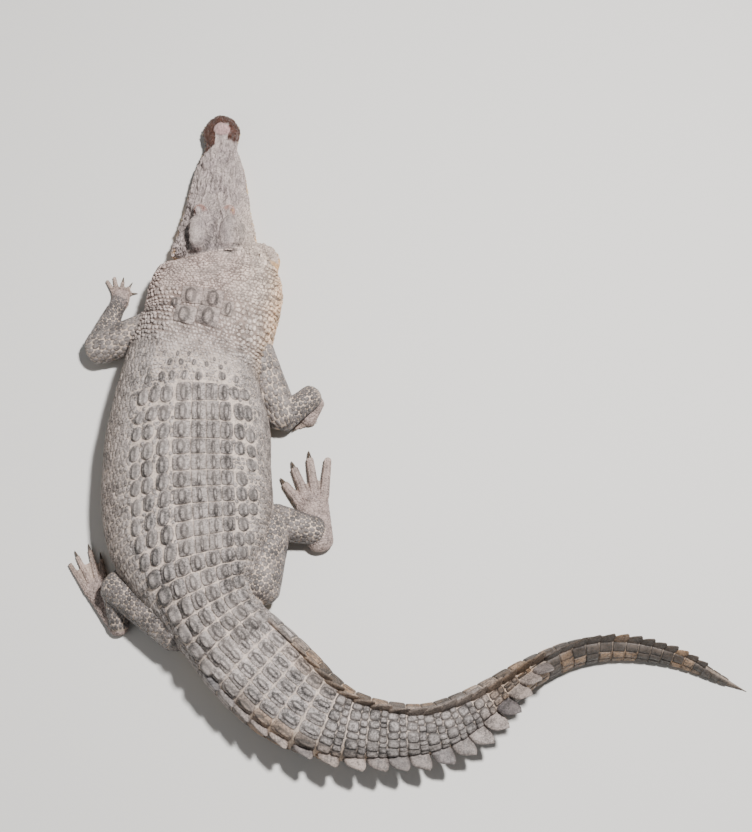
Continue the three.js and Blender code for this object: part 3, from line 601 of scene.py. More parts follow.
def napeDrop(back, side):
    # the step behind the skull table
    fromTable = back - head["length"]
    step = smoothBetween(-0.002, 0.008, fromTable) * (1 - smoothBetween(0.006, 0.040, fromTable))
    step = step * (1 - smoothBetween(0.075, 0.115, np.abs(side)))
    return step * (headRises["napeStep"] + headRises["napeCorner"] * smoothBetween(0.03, 0.06, np.abs(side)))


def headShift(points, normals):
    # how each point of the head moves along its normal, and down behind the skull table
    back, side, height = worldToHead(points)
    upper = smoothBetween(0.1, 0.6, normals[:, 2])
    flank = 1 - smoothBetween(0.55, 0.9, np.abs(normals[:, 2]))
    lobe = hump("lobe", back, side)
    top = smoothBetween(0.02, 0.35, hump("nostrilDisc", back, side)) * headRises["disc"]
    top += hump("nostrilRim", back, side) * headRises["nostrilRim"]
    top -= hump("nostrilSlit", back, side) * headRises["nostrilSlit"]
    top += smoothBetween(0.04, 0.40, lobe) * headRises["lobe"]
    for b, s, longRadius, wideRadius, turn, rise in headRelief:
        top += mound(back - b, np.abs(side) - s, longRadius, wideRadius, -turn) * rise
    onLobe = smoothBetween(0.0, 0.3, lobe)
    top += boneLift(back, side, height, onLobe)
    lift = top * upper + jawLineLift(back, height) * flank
    lift += cellLift(back, side, height, upper, flank, onLobe)
    shift = normals * (lift * headWeight(points))[:, None]
    shift[:, 2] -= napeDrop(back, side) * upper
    return shift


def eyeCentre(way):
    return headToWorld(head["eyeBack"], way * head["eyeSide"], head["eyeHeight"])


def eyeWays(way):
    # unit vectors of one eye: where it looks, along its slit, and up
    origin = headToWorld(0.0, 0.0, 0.0)
    gaze = headToWorld(eyeGaze.x, way * eyeGaze.y, eyeGaze.z) - origin
    gaze /= np.linalg.norm(gaze)
    slitWay = headToWorld(1.0, 0.0, 0.0) - origin
    slitWay -= gaze * (slitWay @ gaze)
    slitWay /= np.linalg.norm(slitWay)
    upWay = np.cross(gaze, slitWay)
    return gaze, slitWay, upWay * np.sign(upWay[2])


def shapeLids(points):
    # the skin closes over the eyeball except at an almond opening, where it dips behind it
    radius = head["eyeRadius"]
    for way in (-1, 1):
        centre = eyeCentre(way)
        gaze, slitWay, upWay = eyeWays(way)
        away = np.linalg.norm(points - centre, axis=1)
        near = np.where(away < lids["reach"])[0]
        away = away[near]
        ways = (points[near] - centre) / away[:, None]
        p, q, g = ways @ slitWay, ways @ upWay, ways @ gaze
        almond = np.abs(q) / (lids["openTall"] * np.maximum(1 - (p / lids["openLong"]) ** 2, 0.02))
        inFront = smoothBetween(0.1, 0.3, g)
        opened = (1 - smoothBetween(0.85, 1.12, almond)) * inFront
        brim = np.exp(-((almond - 1.25) / 0.28) ** 2) * lids["brim"] * inFront
        lidRadius = radius + lids["over"] + brim
        share = smoothBetween(-0.25, 0.15, g) * (1 - smoothBetween(lids["fadeFrom"], lids["reach"], away))
        closed = mix(away, np.clip(away, lidRadius, lidRadius + lids["slack"]), share)
        target = mix(closed, radius - lids["under"], opened)
        points[near] = centre + ways * target[:, None]
    return points


def finerHead(mesh, inReach):
    # every edge in reach is cut once
    bm = bmesh.new()
    bm.from_mesh(mesh)
    edges = [e for e in bm.edges if inReach(e.verts[0].co) and inReach(e.verts[1].co)]
    bmesh.ops.subdivide_edges(bm, edges=edges, cuts=1, use_grid_fill=True)
    bmesh.ops.triangulate(bm, faces=[f for f in bm.faces if len(f.verts) > 4])
    bm.to_mesh(mesh)
    bm.free()


def smoothNape(mesh):
    # the neck runs on from the skull without a collar
    everyAxis = {"use_axis_x": True, "use_axis_y": True, "use_axis_z": True}
    bm = bmesh.new()
    bm.from_mesh(mesh)
    back, _, height = worldToHead(meshPoints(mesh))
    bm.verts.ensure_lookup_table()
    for start, end, rounds in napeRounds:
        near = np.where((back > start) & (back < end) & (height > 0.02))[0]
        verts = [bm.verts[i] for i in near]
        for i in range(rounds):
            bmesh.ops.smooth_vert(bm, verts=verts, factor=0.5, **everyAxis)
    bm.to_mesh(mesh)
    bm.free()


eyeCentres = [Vector(eyeCentre(way)) for way in (-1, 1)]
smoothNape(mesh)
finerHead(mesh, lambda co: co.y > 0.735 and co.z > 0.012)
finerHead(mesh, lambda co: min((co - centre).length for centre in eyeCentres) < 0.036)
points, normals = meshPoints(mesh), meshNormals(mesh)
onHead = np.where(headWeight(points) > 0)[0]
points[onHead] += headShift(points[onHead], normals[onHead])
points = shapeLids(points)
points[:, 2] = np.maximum(points[:, 2], 0.0004)
setPoints(mesh, points)
print("head shaped:", len(onHead), "points")

mesh = finished(skinPiece, [("DECIMATE", {"ratio": skin["triangles"] / (2 * len(mesh.vertices))})])
mesh.shade_smooth()
skinTree = BVHTree.FromPolygons([v.co for v in mesh.vertices], [p.vertices for p in mesh.polygons])
print("skin thinned:", sum(len(p.vertices) - 2 for p in mesh.polygons), "triangles")

# Colours of the hide. Skin and scales take them from the same rules, by place on the animal.
paints = {
    "backGrey": (150, 141, 136), "spineDust": (168, 157, 151), "neckDust": (176, 155, 146),
    "neckPale": (196, 176, 158), "flankBrown": (140, 122, 110), "bellyCream": (190, 158, 112),
    "jowlCream": (218, 168, 108), "headGrey": (146, 132, 129), "headDust": (170, 155, 149),
    "snoutWet": (62, 30, 15), "nostrilPink": (166, 130, 128), "lidPink": (150, 92, 74),
    "limbSlate": (84, 78, 76), "limbDust": (122, 113, 108), "tailGrey": (130, 125, 123),
    "tailOchre": (136, 104, 72), "tailDark": (46, 39, 34), "crestSlate": (60, 59, 63),
    "neckSeam": (92, 74, 64), "panelBrown": (100, 84, 70), "crestDust": (150, 136, 127),
    "seamTan": (206, 184, 164), "toePink": (158, 136, 128),
}


def linear(rgb):
    # from the screen's values, 0 to 255, to amounts of light
    share = np.array(rgb) / 255
    return np.where(share <= 0.04045, share / 12.92, ((share + 0.055) / 1.055) ** 2.4)


paint = {name: linear(rgb) for name, rgb in paints.items()}


def blend(start, end, share):
    share = np.clip(np.asarray(share), 0, 1)[..., None]
    return start * (1 - share) + end * share


def patches(points, scale, seed):
    # slow, soft blotches between 0 and 1
    return np.clip(noiseAt(points, (scale, scale, scale), seed, 2) * 0.9 + 0.5, 0, 1)


# The stretches of the spine over which each colour comes or goes, and the shares it is laid on with.
stretches = {
    "neck": (3.0, 7.5), "creamNeck": (4.0, 8.0), "paleBelly": (22, 25), "dustySide": (14, 18),
    "darkSide": (13, 15), "tail": (16, 20), "tailSide": (17.5, 19.5), "allOchre": (24.0, 25.8),
    "allBarred": (24.3, 26.0), "darkCrest": (25.6, 26.4),
}
laid = {
    "spineDust": 0.8, "blotches": 0.25, "neck": 0.85, "flank": 0.55, "belly": 0.9, "neckCream": 0.6,
    "sideDust": 0.25, "tailGrey": 0.5, "ochre": 0.9, "bars": 0.92, "sideBars": 0.85,
    "cheekPale": 0.55, "jawCream": 0.8, "wet": 0.95, "wetJaw": 0.85, "nostrilPink": 0.9, "lidPink": 0.75,
    # the shares for the lobes' edges, the middle trough and the creases lay on painted shade
    "lobeShade": 0.24, "lobeEdgeShadow": 0.50, "troughShade": 0.18, "creases": 0.52,
}
scaleShade = {"hide": 0.70, "rightSide": 0.08, "tail": 0.96}
bars = {"length": 0.185, "wander": 1.2, "split": 0.5, "rag": 1.1}


def stretch(name, place):
    return smoothBetween(*stretches[name], place)


def bodyPaint(place, d, points):
    # dusty grey back, browner flanks, cream below
    dusty = np.exp(-(d / 0.15) ** 2) * laid["spineDust"] + laid["blotches"] * patches(points, 5.0, 2.0) - 0.1
    tone = blend(paint["backGrey"], paint["spineDust"], dusty)
    neckShare = 1 - stretch("neck", place)
    neckTone = blend(paint["neckDust"], paint["neckPale"], smoothBetween(0.02, 0.24, d))
    tone = blend(tone, neckTone, neckShare * laid["neck"])
    brown = smoothBetween(0.20, 0.36, np.abs(d)) * (1 - neckShare)
    tone = blend(tone, paint["flankBrown"], brown * laid["flank"])
    belly = smoothBetween(0.12, 0.035, points[..., 2]) * (1 - stretch("paleBelly", place) * 0.6)
    tone = blend(tone, paint["bellyCream"], belly * laid["belly"])
    # the right side of the neck is cream, and that of the back dustier than the left
    cream = smoothBetween(0.18, 0.30, d) * (1 - stretch("creamNeck", place))
    tone = blend(tone, paint["jowlCream"], cream * laid["neckCream"])
    dustier = smoothBetween(0.05, 0.25, d) * (1 - stretch("dustySide", place))
    tone = blend(tone, paint["spineDust"], dustier * laid["sideDust"])
    return blend(tone, paint["tailGrey"], stretch("tail", place) * laid["tailGrey"])


def tailBars(s, place, d, points):
    # how dark each place on the tail is: bars about three whorls long, broken up down the sides
    wander = bars["wander"] * np.sin(s * 9.0)
    bar = np.sin(s * 2 * math.pi / bars["length"] + wander + np.sign(d) * bars["split"])
    # the crest and the strip beside it stay dark behind the merge
    nearCrest = (1 - smoothBetween(0.030, 0.050, np.abs(d))) * stretch("darkCrest", place)
    bar = bar + nearCrest * (1.1 + 0.5 * np.sin(s * 11.0))
    rag = noiseAt(points, (16, 16, 16), 5.0, 3)
    side = smoothBetween(0.06, 0.13, np.abs(d)) * stretch("tailSide", place)
    # over the top of the double crest the tail stays grey and dusty until the rows meet
    share = smoothBetween(-0.25, 0.35, bar + rag * bars["rag"])
    return share * np.maximum(side * laid["sideBars"], stretch("allBarred", place))


def bodyTone(s, d, points):
    # the body's colours, with dark bars on an ochre tail
    place = placeAt(s)
    ochre = stretch("tailSide", place) * smoothBetween(0.07, 0.15, np.abs(d))
    ochre = np.maximum(ochre, stretch("allOchre", place))
    tone = blend(bodyPaint(place, d, points), paint["tailOchre"], ochre * laid["ochre"])
    return blend(tone, paint["tailDark"], tailBars(s, place, d, points) * laid["bars"])


def hideTone(s, d, points):
    # the scales themselves, darker than the skin between them
    rightSide = smoothBetween(0.0, 0.2, d) * (1 - stretch("darkSide", placeAt(s)))
    return bodyTone(s, d, points) * (scaleShade["hide"] - scaleShade["rightSide"] * rightSide)[..., None]


def tailTone(s, d, points):
    return bodyTone(s, d, points) * scaleShade["tail"]


def wetness(back, side, overMouth, rag):
    # the wet snout, its edge further back on the left, the pale nostril disc, and the wet rim of the left jaw
    bridge = np.where(np.abs(side - 0.004) < 0.024, 0.08, 0)
    wet = 1 - smoothBetween(0.118, 0.134, back - 0.9 * np.maximum(-side, 0) + rag * 0.02 + bridge)
    disc = smoothBetween(0.12, 0.3, mound(back - head["nostrilBack"], side - 0.004, 0.036, 0.042))
    leftJaw = smoothBetween(0.004, -0.012, overMouth - 0.022) * (side < 0)
    leftJaw = leftJaw * (1 - smoothBetween(0.30, 0.45, back))
    return np.maximum(wet * (1 - disc), leftJaw * laid["wetJaw"]), disc


def lobeShade(back, side):
    # the lobes of the skull are a little darker, with a painted shadow round their outer and hind edges
    lobe = hump("lobe", back, side)
    # painted shadow in a ring just outside each lobe, on its outer and hind sides
    edge = smoothBetween(0.0, 0.012, hump("roundLobe", back, side)) * (1 - smoothBetween(0.02, 0.20, lobe))
    behind = np.maximum(smoothBetween(0.56, 0.61, back), smoothBetween(0.075, 0.095, np.abs(side)))
    return (1 - laid["lobeShade"] * smoothBetween(0.0, 0.3, lobe)) * (1 - laid["lobeEdgeShadow"] * edge * behind)


def headTone(points):
    back, side, height = worldToHead(points)
    overMouth = height - headAt(np.clip(back, 0, head["length"]), "mouth")[0]
    rag = noiseAt(points, (30, 30, 30), 9.0, 3)
    tone = blend(paint["headGrey"], paint["headDust"], 0.5 + rag)
    cheek = smoothBetween(0.05, 0.15, side) * smoothBetween(0.28, 0.5, back)
    tone = blend(tone, paint["neckPale"], cheek * laid["cheekPale"])
    low = 1 - smoothBetween(-0.012, 0.012, overMouth + rag * 0.02)
    tone = blend(tone, paint["jowlCream"], low * smoothBetween(0.10, 0.25, back) * laid["jawCream"])
    wet, disc = wetness(back, side, overMouth, rag)
    tone = blend(tone, paint["snoutWet"], wet * laid["wet"])
    tone = blend(tone, paint["nostrilPink"], disc * laid["nostrilPink"])
    for centre in eyeCentres:
        away = np.linalg.norm(points - np.array(centre), axis=1)
        tone = blend(tone, paint["lidPink"], (1 - smoothBetween(0.020, 0.031, away)) * laid["lidPink"])
    # painted shade in the trough along the middle of the skull behind the eyes, and in the head's creases
    troughShade = np.exp(-(side / 0.020) ** 2) * smoothBetween(0.42, 0.50, back)
    shade = 1 - laid["troughShade"] * troughShade - laid["creases"] * headCreases(side, back, height)
    return tone * (lobeShade(back, side) * shade)[..., None], wet


# For each part of a limb, the shares of dust, of pink, of cream near the floor and of tan between scales.
limbPaints = {
    "upper_arm": (0.75, 0, 0.6, 0.75), "forearm": (0.0, 0, 0.6, 0.75), "thigh": (0.30, 0, 0.6, 0.75),
    "shank": (0.05, 0, 0.6, 0.75), "hand": (0.6, 0.6, 0.1, 0.15), "foot": (0.7, 0.6, 0.1, 0.15),
}


def limbTone(kind, points):
    dusty, pink, cream, _ = limbPaints[kind]
    rag = noiseAt(points, (18, 18, 18), 4.0, 3)
    tone = blend(paint["limbSlate"], paint["limbDust"], dusty + rag * 0.8)
    tone = blend(tone, paint["toePink"], pink)
    return blend(tone, paint["bellyCream"], smoothBetween(0.03, 0.008, points[..., 2]) * cream)


def limbToneOf(kind):
    return lambda s, d, points: limbTone(kind, points)


# One scale of each kind. u runs back along the body, v across it, h out of the skin.

def templateMesh(bm):
    bmesh.ops.recalc_face_normals(bm, faces=bm.faces)
    return meshFrom(bm, "template")


def pebble():
    # a six-sided pillow
    bm = bmesh.new()
    bmesh.ops.create_cone(bm, cap_ends=True, segments=6, radius1=1.0, radius2=0.94, depth=0.9)
    top = max(bm.faces, key=lambda f: f.calc_center_median().z)
    bmesh.ops.inset_individual(bm, faces=[top], thickness=0.24, depth=0.36)
    return templateMesh(bm)


def cutBlock(longCuts, wideCuts):
    # a flat block whose top is cut into a grid of faces, with one face below
    bm = bmesh.new()
    bmesh.ops.create_grid(bm, x_segments=longCuts, y_segments=wideCuts, size=1)
    rim = [e for e in bm.edges if e.is_boundary]
    grown = bmesh.ops.extrude_edge_only(bm, edges=rim)
    for vert in [g for g in grown["geom"] if isinstance(g, bmesh.types.BMVert)]:
        vert.co.z = -0.5
    bmesh.ops.holes_fill(bm, edges=[e for e in bm.edges if e.is_boundary], sides=0)
    return bm


keelSteps = ((0, 0.2, 0.4, 0.6, 0.8, 1), (0, 0.14, 0.30, 0.58, 0.90, 1))


def plate(corner, keelWidth, keelRise, crown, rake):
    # a keeled scute: corner 0 is square, 1 is round
    bm = cutBlock(8, 10)
    for vert in bm.verts:
        u = math.copysign(1 - (1 - abs(vert.co.x)) ** 1.6, vert.co.x)
        v = math.copysign(float(np.interp(abs(vert.co.y), keelSteps[0], keelSteps[1])), vert.co.y)
        rim = max(abs(u), abs(v))
        roundU, roundV = u * math.sqrt(1 - v * v / 2), v * math.sqrt(1 - u * u / 2)
        if vert.co.z > -0.1:
            base = (1 - keelRise) * (0.35 if rim > 0.99 else 1 - crown * rim ** 2)
            ends = max(0, 1 - ((u - 0.08) / 0.86) ** 4)
            keel = math.exp(-(v / (keelWidth * (0.55 + 0.45 * ends))) ** 4) * ends ** 0.7 * (0.82 + 0.18 * u)
            vert.co.z = base + keelRise * keel
        vert.co.x = u * (1 - corner) + roundU * corner + rake * max(vert.co.z, 0) * 0.2
        vert.co.y = v * (1 - corner) + roundV * corner
    return templateMesh(bm)


def blade():
    # a crest scute: u from -0.5 to 0.5 along its root, v its thickness, h from 0 at the skin to 1 at the tip
    bm = bmesh.new()
    bmesh.ops.create_cube(bm, size=2)
    bmesh.ops.subdivide_edges(bm, edges=bm.edges[:], cuts=5, use_grid_fill=True)
    for vert in bm.verts:
        u, v, h = vert.co.x, vert.co.y, (vert.co.z + 1) / 2
        front = -0.5 + 0.50 * h ** 2.4
        rear = 0.48 + 0.16 * math.sin(h * 2.0)
        tip = max(h - 0.60, 0) / 0.40
        front += tip ** 2.6 * 0.46
        rear -= tip ** 2.6 * 0.12
        x = (front + rear) / 2 + u * (rear - front) / 2
        thin = (1 - h) ** 0.75 * 0.88 + 0.12
        thin *= 1 - 0.55 * abs(u) ** 3
        ridge = 1 + 0.18 * math.cos(u * 9) * (1 - h)
        vert.co = (x, v * thin * ridge, h * 1.22 - 0.22)
    return templateMesh(bm)


# Sets of scales, each set one joined mesh.

def manyOf(template, count):
    # that many copies in one mesh, by doubling a block of them
    bm = bmesh.new()
    block = template.copy()
    while count:
        if count & 1:
            bm.from_mesh(block)
        count >>= 1
        if count:
            twice = bmesh.new()
            twice.from_mesh(block)
            twice.from_mesh(block)
            twice.to_mesh(block)
            twice.free()
    bpy.data.meshes.remove(block)
    return meshFrom(bm, "scales")


def setColors(mesh, name, colors):
    layer = mesh.attributes.new(name, "FLOAT_COLOR", "POINT")
    full = np.ones((len(colors), 4), np.float32)
    full[:, :colors.shape[1]] = colors
    layer.data.foreach_set("color", full.ravel())


bakeSheet = {
    "strips": 3, "stripLength": 1.28, "stripWidth": 0.315, "margin": 0.02, "long": 0.744, "round": 0.24,
    "roundReach": 0.62, "patch": 0.003,
}


def bodySheet(s, d):
    # the body's own unwrap: length along it in three strips, length round it across each
    strip = np.clip(np.floor(s / bakeSheet["stripLength"]), 0, bakeSheet["strips"] - 1)
    u = bakeSheet["margin"] + (s - strip * bakeSheet["stripLength"]) * bakeSheet["long"]
    fromMiddle = np.clip(d, -bakeSheet["roundReach"], bakeSheet["roundReach"]) * bakeSheet["round"]
    return u, bakeSheet["margin"] + (strip + 0.5) * bakeSheet["stripWidth"] + fromMiddle


def setSheet(mesh, sheet):
    corner = np.empty(len(mesh.loops), np.int32)
    mesh.loops.foreach_get("vertex_index", corner)
    layer = mesh.uv_layers.new(name="OFBake")
    layer.data.foreach_set("uv", sheet[corner].astype(np.float32).ravel())


def scaleMesh(template, rows, onSkin, toneOf, sheetOf, natural=False):
    # rows: s, d, half length, half width, turn, rise, tone for each scale. onSkin(s, d, lift) places a point.
    # A natural sheet keeps each scale's true place and size, and the others get a small patch each.
    rows = np.asarray(rows, float)
    centres = onSkin(rows[:, 0], rows[:, 1], np.full(len(rows), -coatDepth))
    keep, shift = settle(centres)
    rows, centres, shift = rows[keep], centres[keep], shift[keep]
    shape = meshPoints(template)
    count, each = len(rows), len(shape)
    mesh = manyOf(template, count)
    s, d, long, wide, turn, rise, tone = (rows[:, i][:, None] for i in range(7))
    u, v, h = shape[:, 0][None], shape[:, 1][None], shape[:, 2][None]
    along = u * long * np.cos(turn) - v * wide * np.sin(turn)
    across = u * long * np.sin(turn) + v * wide * np.cos(turn)
    points = onSkin(s + along, d + across, h * rise - coatDepth) + shift[:, None, :]
    points[..., 2] = np.maximum(points[..., 2], 0.0006)
    tint = np.broadcast_to(toneOf(s[:, 0], d[:, 0], centres)[:, None, :] * tone[:, :, None], points.shape)
    rim = 1 - np.maximum(np.abs(u), np.abs(v))
    relief = [np.broadcast_to(np.clip(part, 0, 1), (count, each)) for part in (h, rim, tone - 0.5)]
    setPoints(mesh, points.reshape(-1, 3))
    setColors(mesh, "tint", tint.reshape(-1, 3))
    setColors(mesh, "relief", np.stack(relief, axis=-1).reshape(-1, 3))
    if natural:
        inset = 0.94                                 # so that neighbours don't touch on the sheet
        sheet = np.stack(sheetOf(s + along * inset, d + across * inset), axis=-1)
    else:
        root = np.stack(sheetOf(s, d), axis=-1)
        sheet = root + np.stack([u, v], axis=-1) * bakeSheet["patch"] / 2
    setSheet(mesh, np.clip(np.broadcast_to(sheet, (count, each, 2)), 0.001, 0.999).reshape(-1, 2))
    return mesh


def coatPiece(name, meshes, finish):
    joined = joinedMesh(meshes, name)
    joined.shade_smooth()
    joined.materials.clear()
    joined.materials.append(finish)
    piece = placed(name, joined)
    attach(piece, "root")
    print(name + ":", sum(len(p.vertices) - 2 for p in joined.polygons), "triangles")
    return piece


settling = {"deepest": 0.007, "farthest": 0.022, "lowest": 0.004}


def settle(centres):
    # which roots lie at the skin, and how far to move each so that it sits on it
    keep = np.ones(len(centres), bool)
    shift = np.zeros((len(centres), 3))
    for i, centre in enumerate(centres):
        near, normal, _, away = skinTree.find_nearest(Vector(centre))
        offset = near - Vector(centre)
        shift[i] = offset
        deep = offset.dot(normal) > settling["deepest"]
        keep[i] = not (deep or away > settling["farthest"] or centre[2] < settling["lowest"])
    return keep, shift


dice = np.random.default_rng(41)


def sway(reach):
    return dice.uniform(-reach, reach)


def hexField(start, end, reach, pitchLong, pitchWide, jitter):
    # staggered rows of places over both sides, each moved a little
    places = []
    for i, s in enumerate(np.arange(start, end, pitchLong)):
        d = np.arange(-reach + (i % 2) * pitchWide / 2, reach, pitchWide)
        places.append(np.stack([np.full(len(d), s), d], axis=1))
    field = np.concatenate(places)
    return field + dice.uniform(-jitter, jitter, field.shape) * (pitchLong, pitchWide)


def clearOf(field, scutes, room):
    # places that no scute covers
    free = np.ones(len(field), bool)
    for row in scutes:
        a = (field[:, 0] - row[0]) / (row[2] + room)
        b = (field[:, 1] - row[1]) / (row[3] + room)
        free &= (np.abs(a) ** 3 + np.abs(b) ** 3) > 1
    return field[free]


def scatter(field, long, wide, rise, spread=0.16, turnSpread=0.5, toneSpread=0.12):
    # one row for each place, its size, turn and tone a little different
    count = len(field)
    sizes = (long, wide) * (1 + dice.uniform(-spread, spread, (count, 2)))
    turns = dice.uniform(-turnSpread, turnSpread, count)
    rises = rise * (1 + dice.uniform(-0.3, 0.3, count))
    return np.column_stack([field, sizes, turns, rises, 1 + dice.uniform(-toneSpread, toneSpread, count)])


# Finishes. Shared effects are node groups that put out only colours, masks and heights.

def newGroup(name, inputs, outputs):
    tree = bpy.data.node_groups.new(name, "ShaderNodeTree")
    for title, kind, value in inputs:
        socket = tree.interface.new_socket(title, in_out="INPUT", socket_type=kind)
        socket.default_value = value
    for title, kind in outputs:
        tree.interface.new_socket(title, in_out="OUTPUT", socket_type=kind)
    return tree, tree.nodes.new("NodeGroupInput"), tree.nodes.new("NodeGroupOutput")


def node(tree, kind, settings=None, **values):
    # a shader node with its inputs set or linked, by name or, as i0, i1 and so on, by number
    made = tree.nodes.new("ShaderNode" + kind)
    for key, value in (settings or {}).items():
        setattr(made, key, value)
    for key, value in values.items():
        target = made.inputs[int(key[1:])] if key[0] == "i" and key[1:].isdigit() else made.inputs[key]
        if isinstance(value, bpy.types.NodeSocket):
            tree.links.new(value, target)
        else:
            target.default_value = value
    return made


def math2(tree, operation, a, b, clamp=False):
    return node(tree, "Math", {"operation": operation, "use_clamp": clamp}, i0=a, i1=b).outputs[0]


def mixColor(tree, share, a, b, way="MIX"):
    mixed = node(tree, "Mix", {"data_type": "RGBA", "blend_type": way})
    for index, value in ((0, share), (6, a), (7, b)):
        if isinstance(value, bpy.types.NodeSocket):
            tree.links.new(value, mixed.inputs[index])
        else:
            mixed.inputs[index].default_value = value
    return mixed.outputs[2]


def remap(tree, value, low, high, toLow=0.0, toHigh=1.0):
    made = node(tree, "MapRange", {"interpolation_type": "SMOOTHSTEP"}, Value=value)
    for key, number in (("From Min", low), ("From Max", high), ("To Min", toLow), ("To Max", toHigh)):
        made.inputs[key].default_value = number
    return made.outputs[0]


def objectPlace(tree):
    return node(tree, "TexCoord").outputs["Object"]


def cloud(tree, place, scale, detail, roughness=0.5):
    return node(tree, "TexNoise", Vector=place, Scale=scale, Detail=detail, Roughness=roughness).outputs[0]


def shaded(tree, color, level):
    # a colour made darker or paler by one number
    grey = node(tree, "CombineColor", Red=level, Green=level, Blue=level).outputs[0]
    return mixColor(tree, 1.0, color, grey, "MULTIPLY")


def opaque(rgb):
    return (*linear(rgb), 1)


plainGrey = (0.3, 0.3, 0.3, 1)


def mottleGroup():
    # soft blotches at two sizes over any colour
    inputs = [("Color", "NodeSocketColor", plainGrey), ("Depth", "NodeSocketFloat", 0.3)]
    tree, given, out = newGroup("hideMottle", inputs, [("Color", "NodeSocketColor")])
    place = objectPlace(tree)
    broad = math2(tree, "MULTIPLY", cloud(tree, place, 26.0, 4.0, 0.6), 0.35)
    small = math2(tree, "MULTIPLY", cloud(tree, place, 150.0, 4.0, 0.75), 0.65)
    swing = math2(tree, "SUBTRACT", remap(tree, math2(tree, "ADD", broad, small), 0.40, 0.60), 0.5)
    level = math2(tree, "ADD", 1.0, math2(tree, "MULTIPLY", swing, given.outputs["Depth"]))
    tree.links.new(shaded(tree, given.outputs["Color"], level), out.inputs[0])
    return tree


def grainGroup():
    # fine creases and pores, as a height
    inputs, outputs = [("Size", "NodeSocketFloat", 1.0)], [("Height", "NodeSocketFloat")]
    tree, given, out = newGroup("hideGrain", inputs, outputs)
    size = given.outputs["Size"]
    sized = node(tree, "VectorMath", {"operation": "SCALE"}, i0=objectPlace(tree), Scale=size).outputs[0]
    bent = node(tree, "TexNoise", Vector=sized, Scale=60.0, Detail=2.0).outputs["Color"]
    pull = (0.012, 0.012, 0.012)
    pulled = node(tree, "VectorMath", {"operation": "MULTIPLY_ADD"}, i0=bent, i1=pull, i2=sized)
    edges = node(tree, "TexVoronoi", {"feature": "DISTANCE_TO_EDGE"}, Vector=pulled.outputs[0], Scale=170.0)
    creases, pores = edges.outputs[0], cloud(tree, sized, 420.0, 3.0, 0.7)
    height = math2(tree, "ADD", remap(tree, creases, 0.0, 0.16), math2(tree, "MULTIPLY", pores, 0.7))
    tree.links.new(height, out.inputs[0])
    return tree


def dustGroup():
    # pale dried mud on what faces up, broken into patches
    inputs = [("Color", "NodeSocketColor", plainGrey), ("Dust", "NodeSocketColor", (0.5, 0.45, 0.4, 1)),
              ("Amount", "NodeSocketFloat", 0.3)]
    tree, given, out = newGroup("driedDust", inputs, [("Color", "NodeSocketColor")])
    up = node(tree, "SeparateXYZ", Vector=node(tree, "NewGeometry").outputs["Normal"]).outputs["Z"]
    patchy = remap(tree, cloud(tree, objectPlace(tree), 9.0, 6.0, 0.7), 0.38, 0.66)
    mask = math2(tree, "MULTIPLY", remap(tree, up, 0.25, 0.95), patchy)
    share = math2(tree, "MULTIPLY", mask, given.outputs["Amount"], True)
    tree.links.new(mixColor(tree, share, given.outputs["Color"], given.outputs["Dust"]), out.inputs[0])
    return tree


mottle, grain, dust = mottleGroup(), grainGroup(), dustGroup()
dustColor = opaque((196, 182, 172))


def newFinish(name):
    finish = bpy.data.materials.new(name)
    finish.use_nodes = True
    tree = finish.node_tree
    return finish, tree, tree.nodes["Principled BSDF"]


def useGroup(tree, group, **values):
    made = tree.nodes.new("ShaderNodeGroup")
    made.node_tree = group
    for key, value in values.items():
        if isinstance(value, bpy.types.NodeSocket):
            tree.links.new(value, made.inputs[key])
        else:
            made.inputs[key].default_value = value
    return made.outputs[0]


def bumped(tree, shader, height, strength, distance):
    bump = node(tree, "Bump", Height=height, Strength=strength, Distance=distance)
    tree.links.new(bump.outputs[0], shader.inputs["Normal"])


def roughened(tree, shader, value, low, high):
    tree.links.new(remap(tree, value, 0.3, 0.7, low, high), shader.inputs["Roughness"])


def attribute(tree, name):
    return node(tree, "Attribute", {"attribute_name": name}).outputs["Color"]


def skinFinish():
    finish, tree, shader = newFinish("crocodileHide")
    tint = attribute(tree, "tint")
    wet = node(tree, "SeparateColor", Color=attribute(tree, "wetness")).outputs[0]
    color = useGroup(tree, mottle, Color=tint, Depth=0.75)
    dusty = math2(tree, "MULTIPLY", math2(tree, "SUBTRACT", 1.0, wet), 0.25)
    color = useGroup(tree, dust, Color=color, Dust=dustColor, Amount=dusty)
    tree.links.new(color, shader.inputs["Base Color"])
    dry = remap(tree, cloud(tree, objectPlace(tree), 70.0, 3.0), 0.3, 0.7, 0.58, 0.86)
    rough = math2(tree, "SUBTRACT", dry, math2(tree, "MULTIPLY", wet, 0.50))
    tree.links.new(rough, shader.inputs["Roughness"])
    bumped(tree, shader, useGroup(tree, grain, Size=1.3), 0.55, 0.0016)
    return finish


def scaleFinish(name, rough, dusty, grainSize, foot, bump, keelShade, mottled):
    # its own tone over the face of each scale, another at its foot, and painted shade on the flanks of a keel
    finish, tree, shader = newFinish(name)
    tint = attribute(tree, "tint")
    relief = node(tree, "SeparateColor", Color=attribute(tree, "relief"))
    height, rim = relief.outputs[0], relief.outputs[1]
    color = useGroup(tree, mottle, Color=tint, Depth=mottled)
    # painted shade on the flanks of a keel, strongest partway up and gone at its top
    keelFlankShade = math2(tree, "MULTIPLY", remap(tree, height, 0.36, 0.50, 0.0, keelShade),
                        remap(tree, height, 0.66, 0.90, 1.0, 0.0))
    level = math2(tree, "SUBTRACT", remap(tree, height, 0.03, 0.30, foot, 1.0), keelFlankShade)
    color = shaded(tree, color, level)
    dustShare = math2(tree, "MULTIPLY", remap(tree, rim, 0.0, 0.6, 1.0, 0.6), dusty)
    color = useGroup(tree, dust, Color=color, Dust=dustColor, Amount=dustShare)
    tree.links.new(color, shader.inputs["Base Color"])
    roughened(tree, shader, cloud(tree, objectPlace(tree), 90.0, 3.0), *rough)
    bumped(tree, shader, useGroup(tree, grain, Size=grainSize), bump, 0.0014)
    return finish
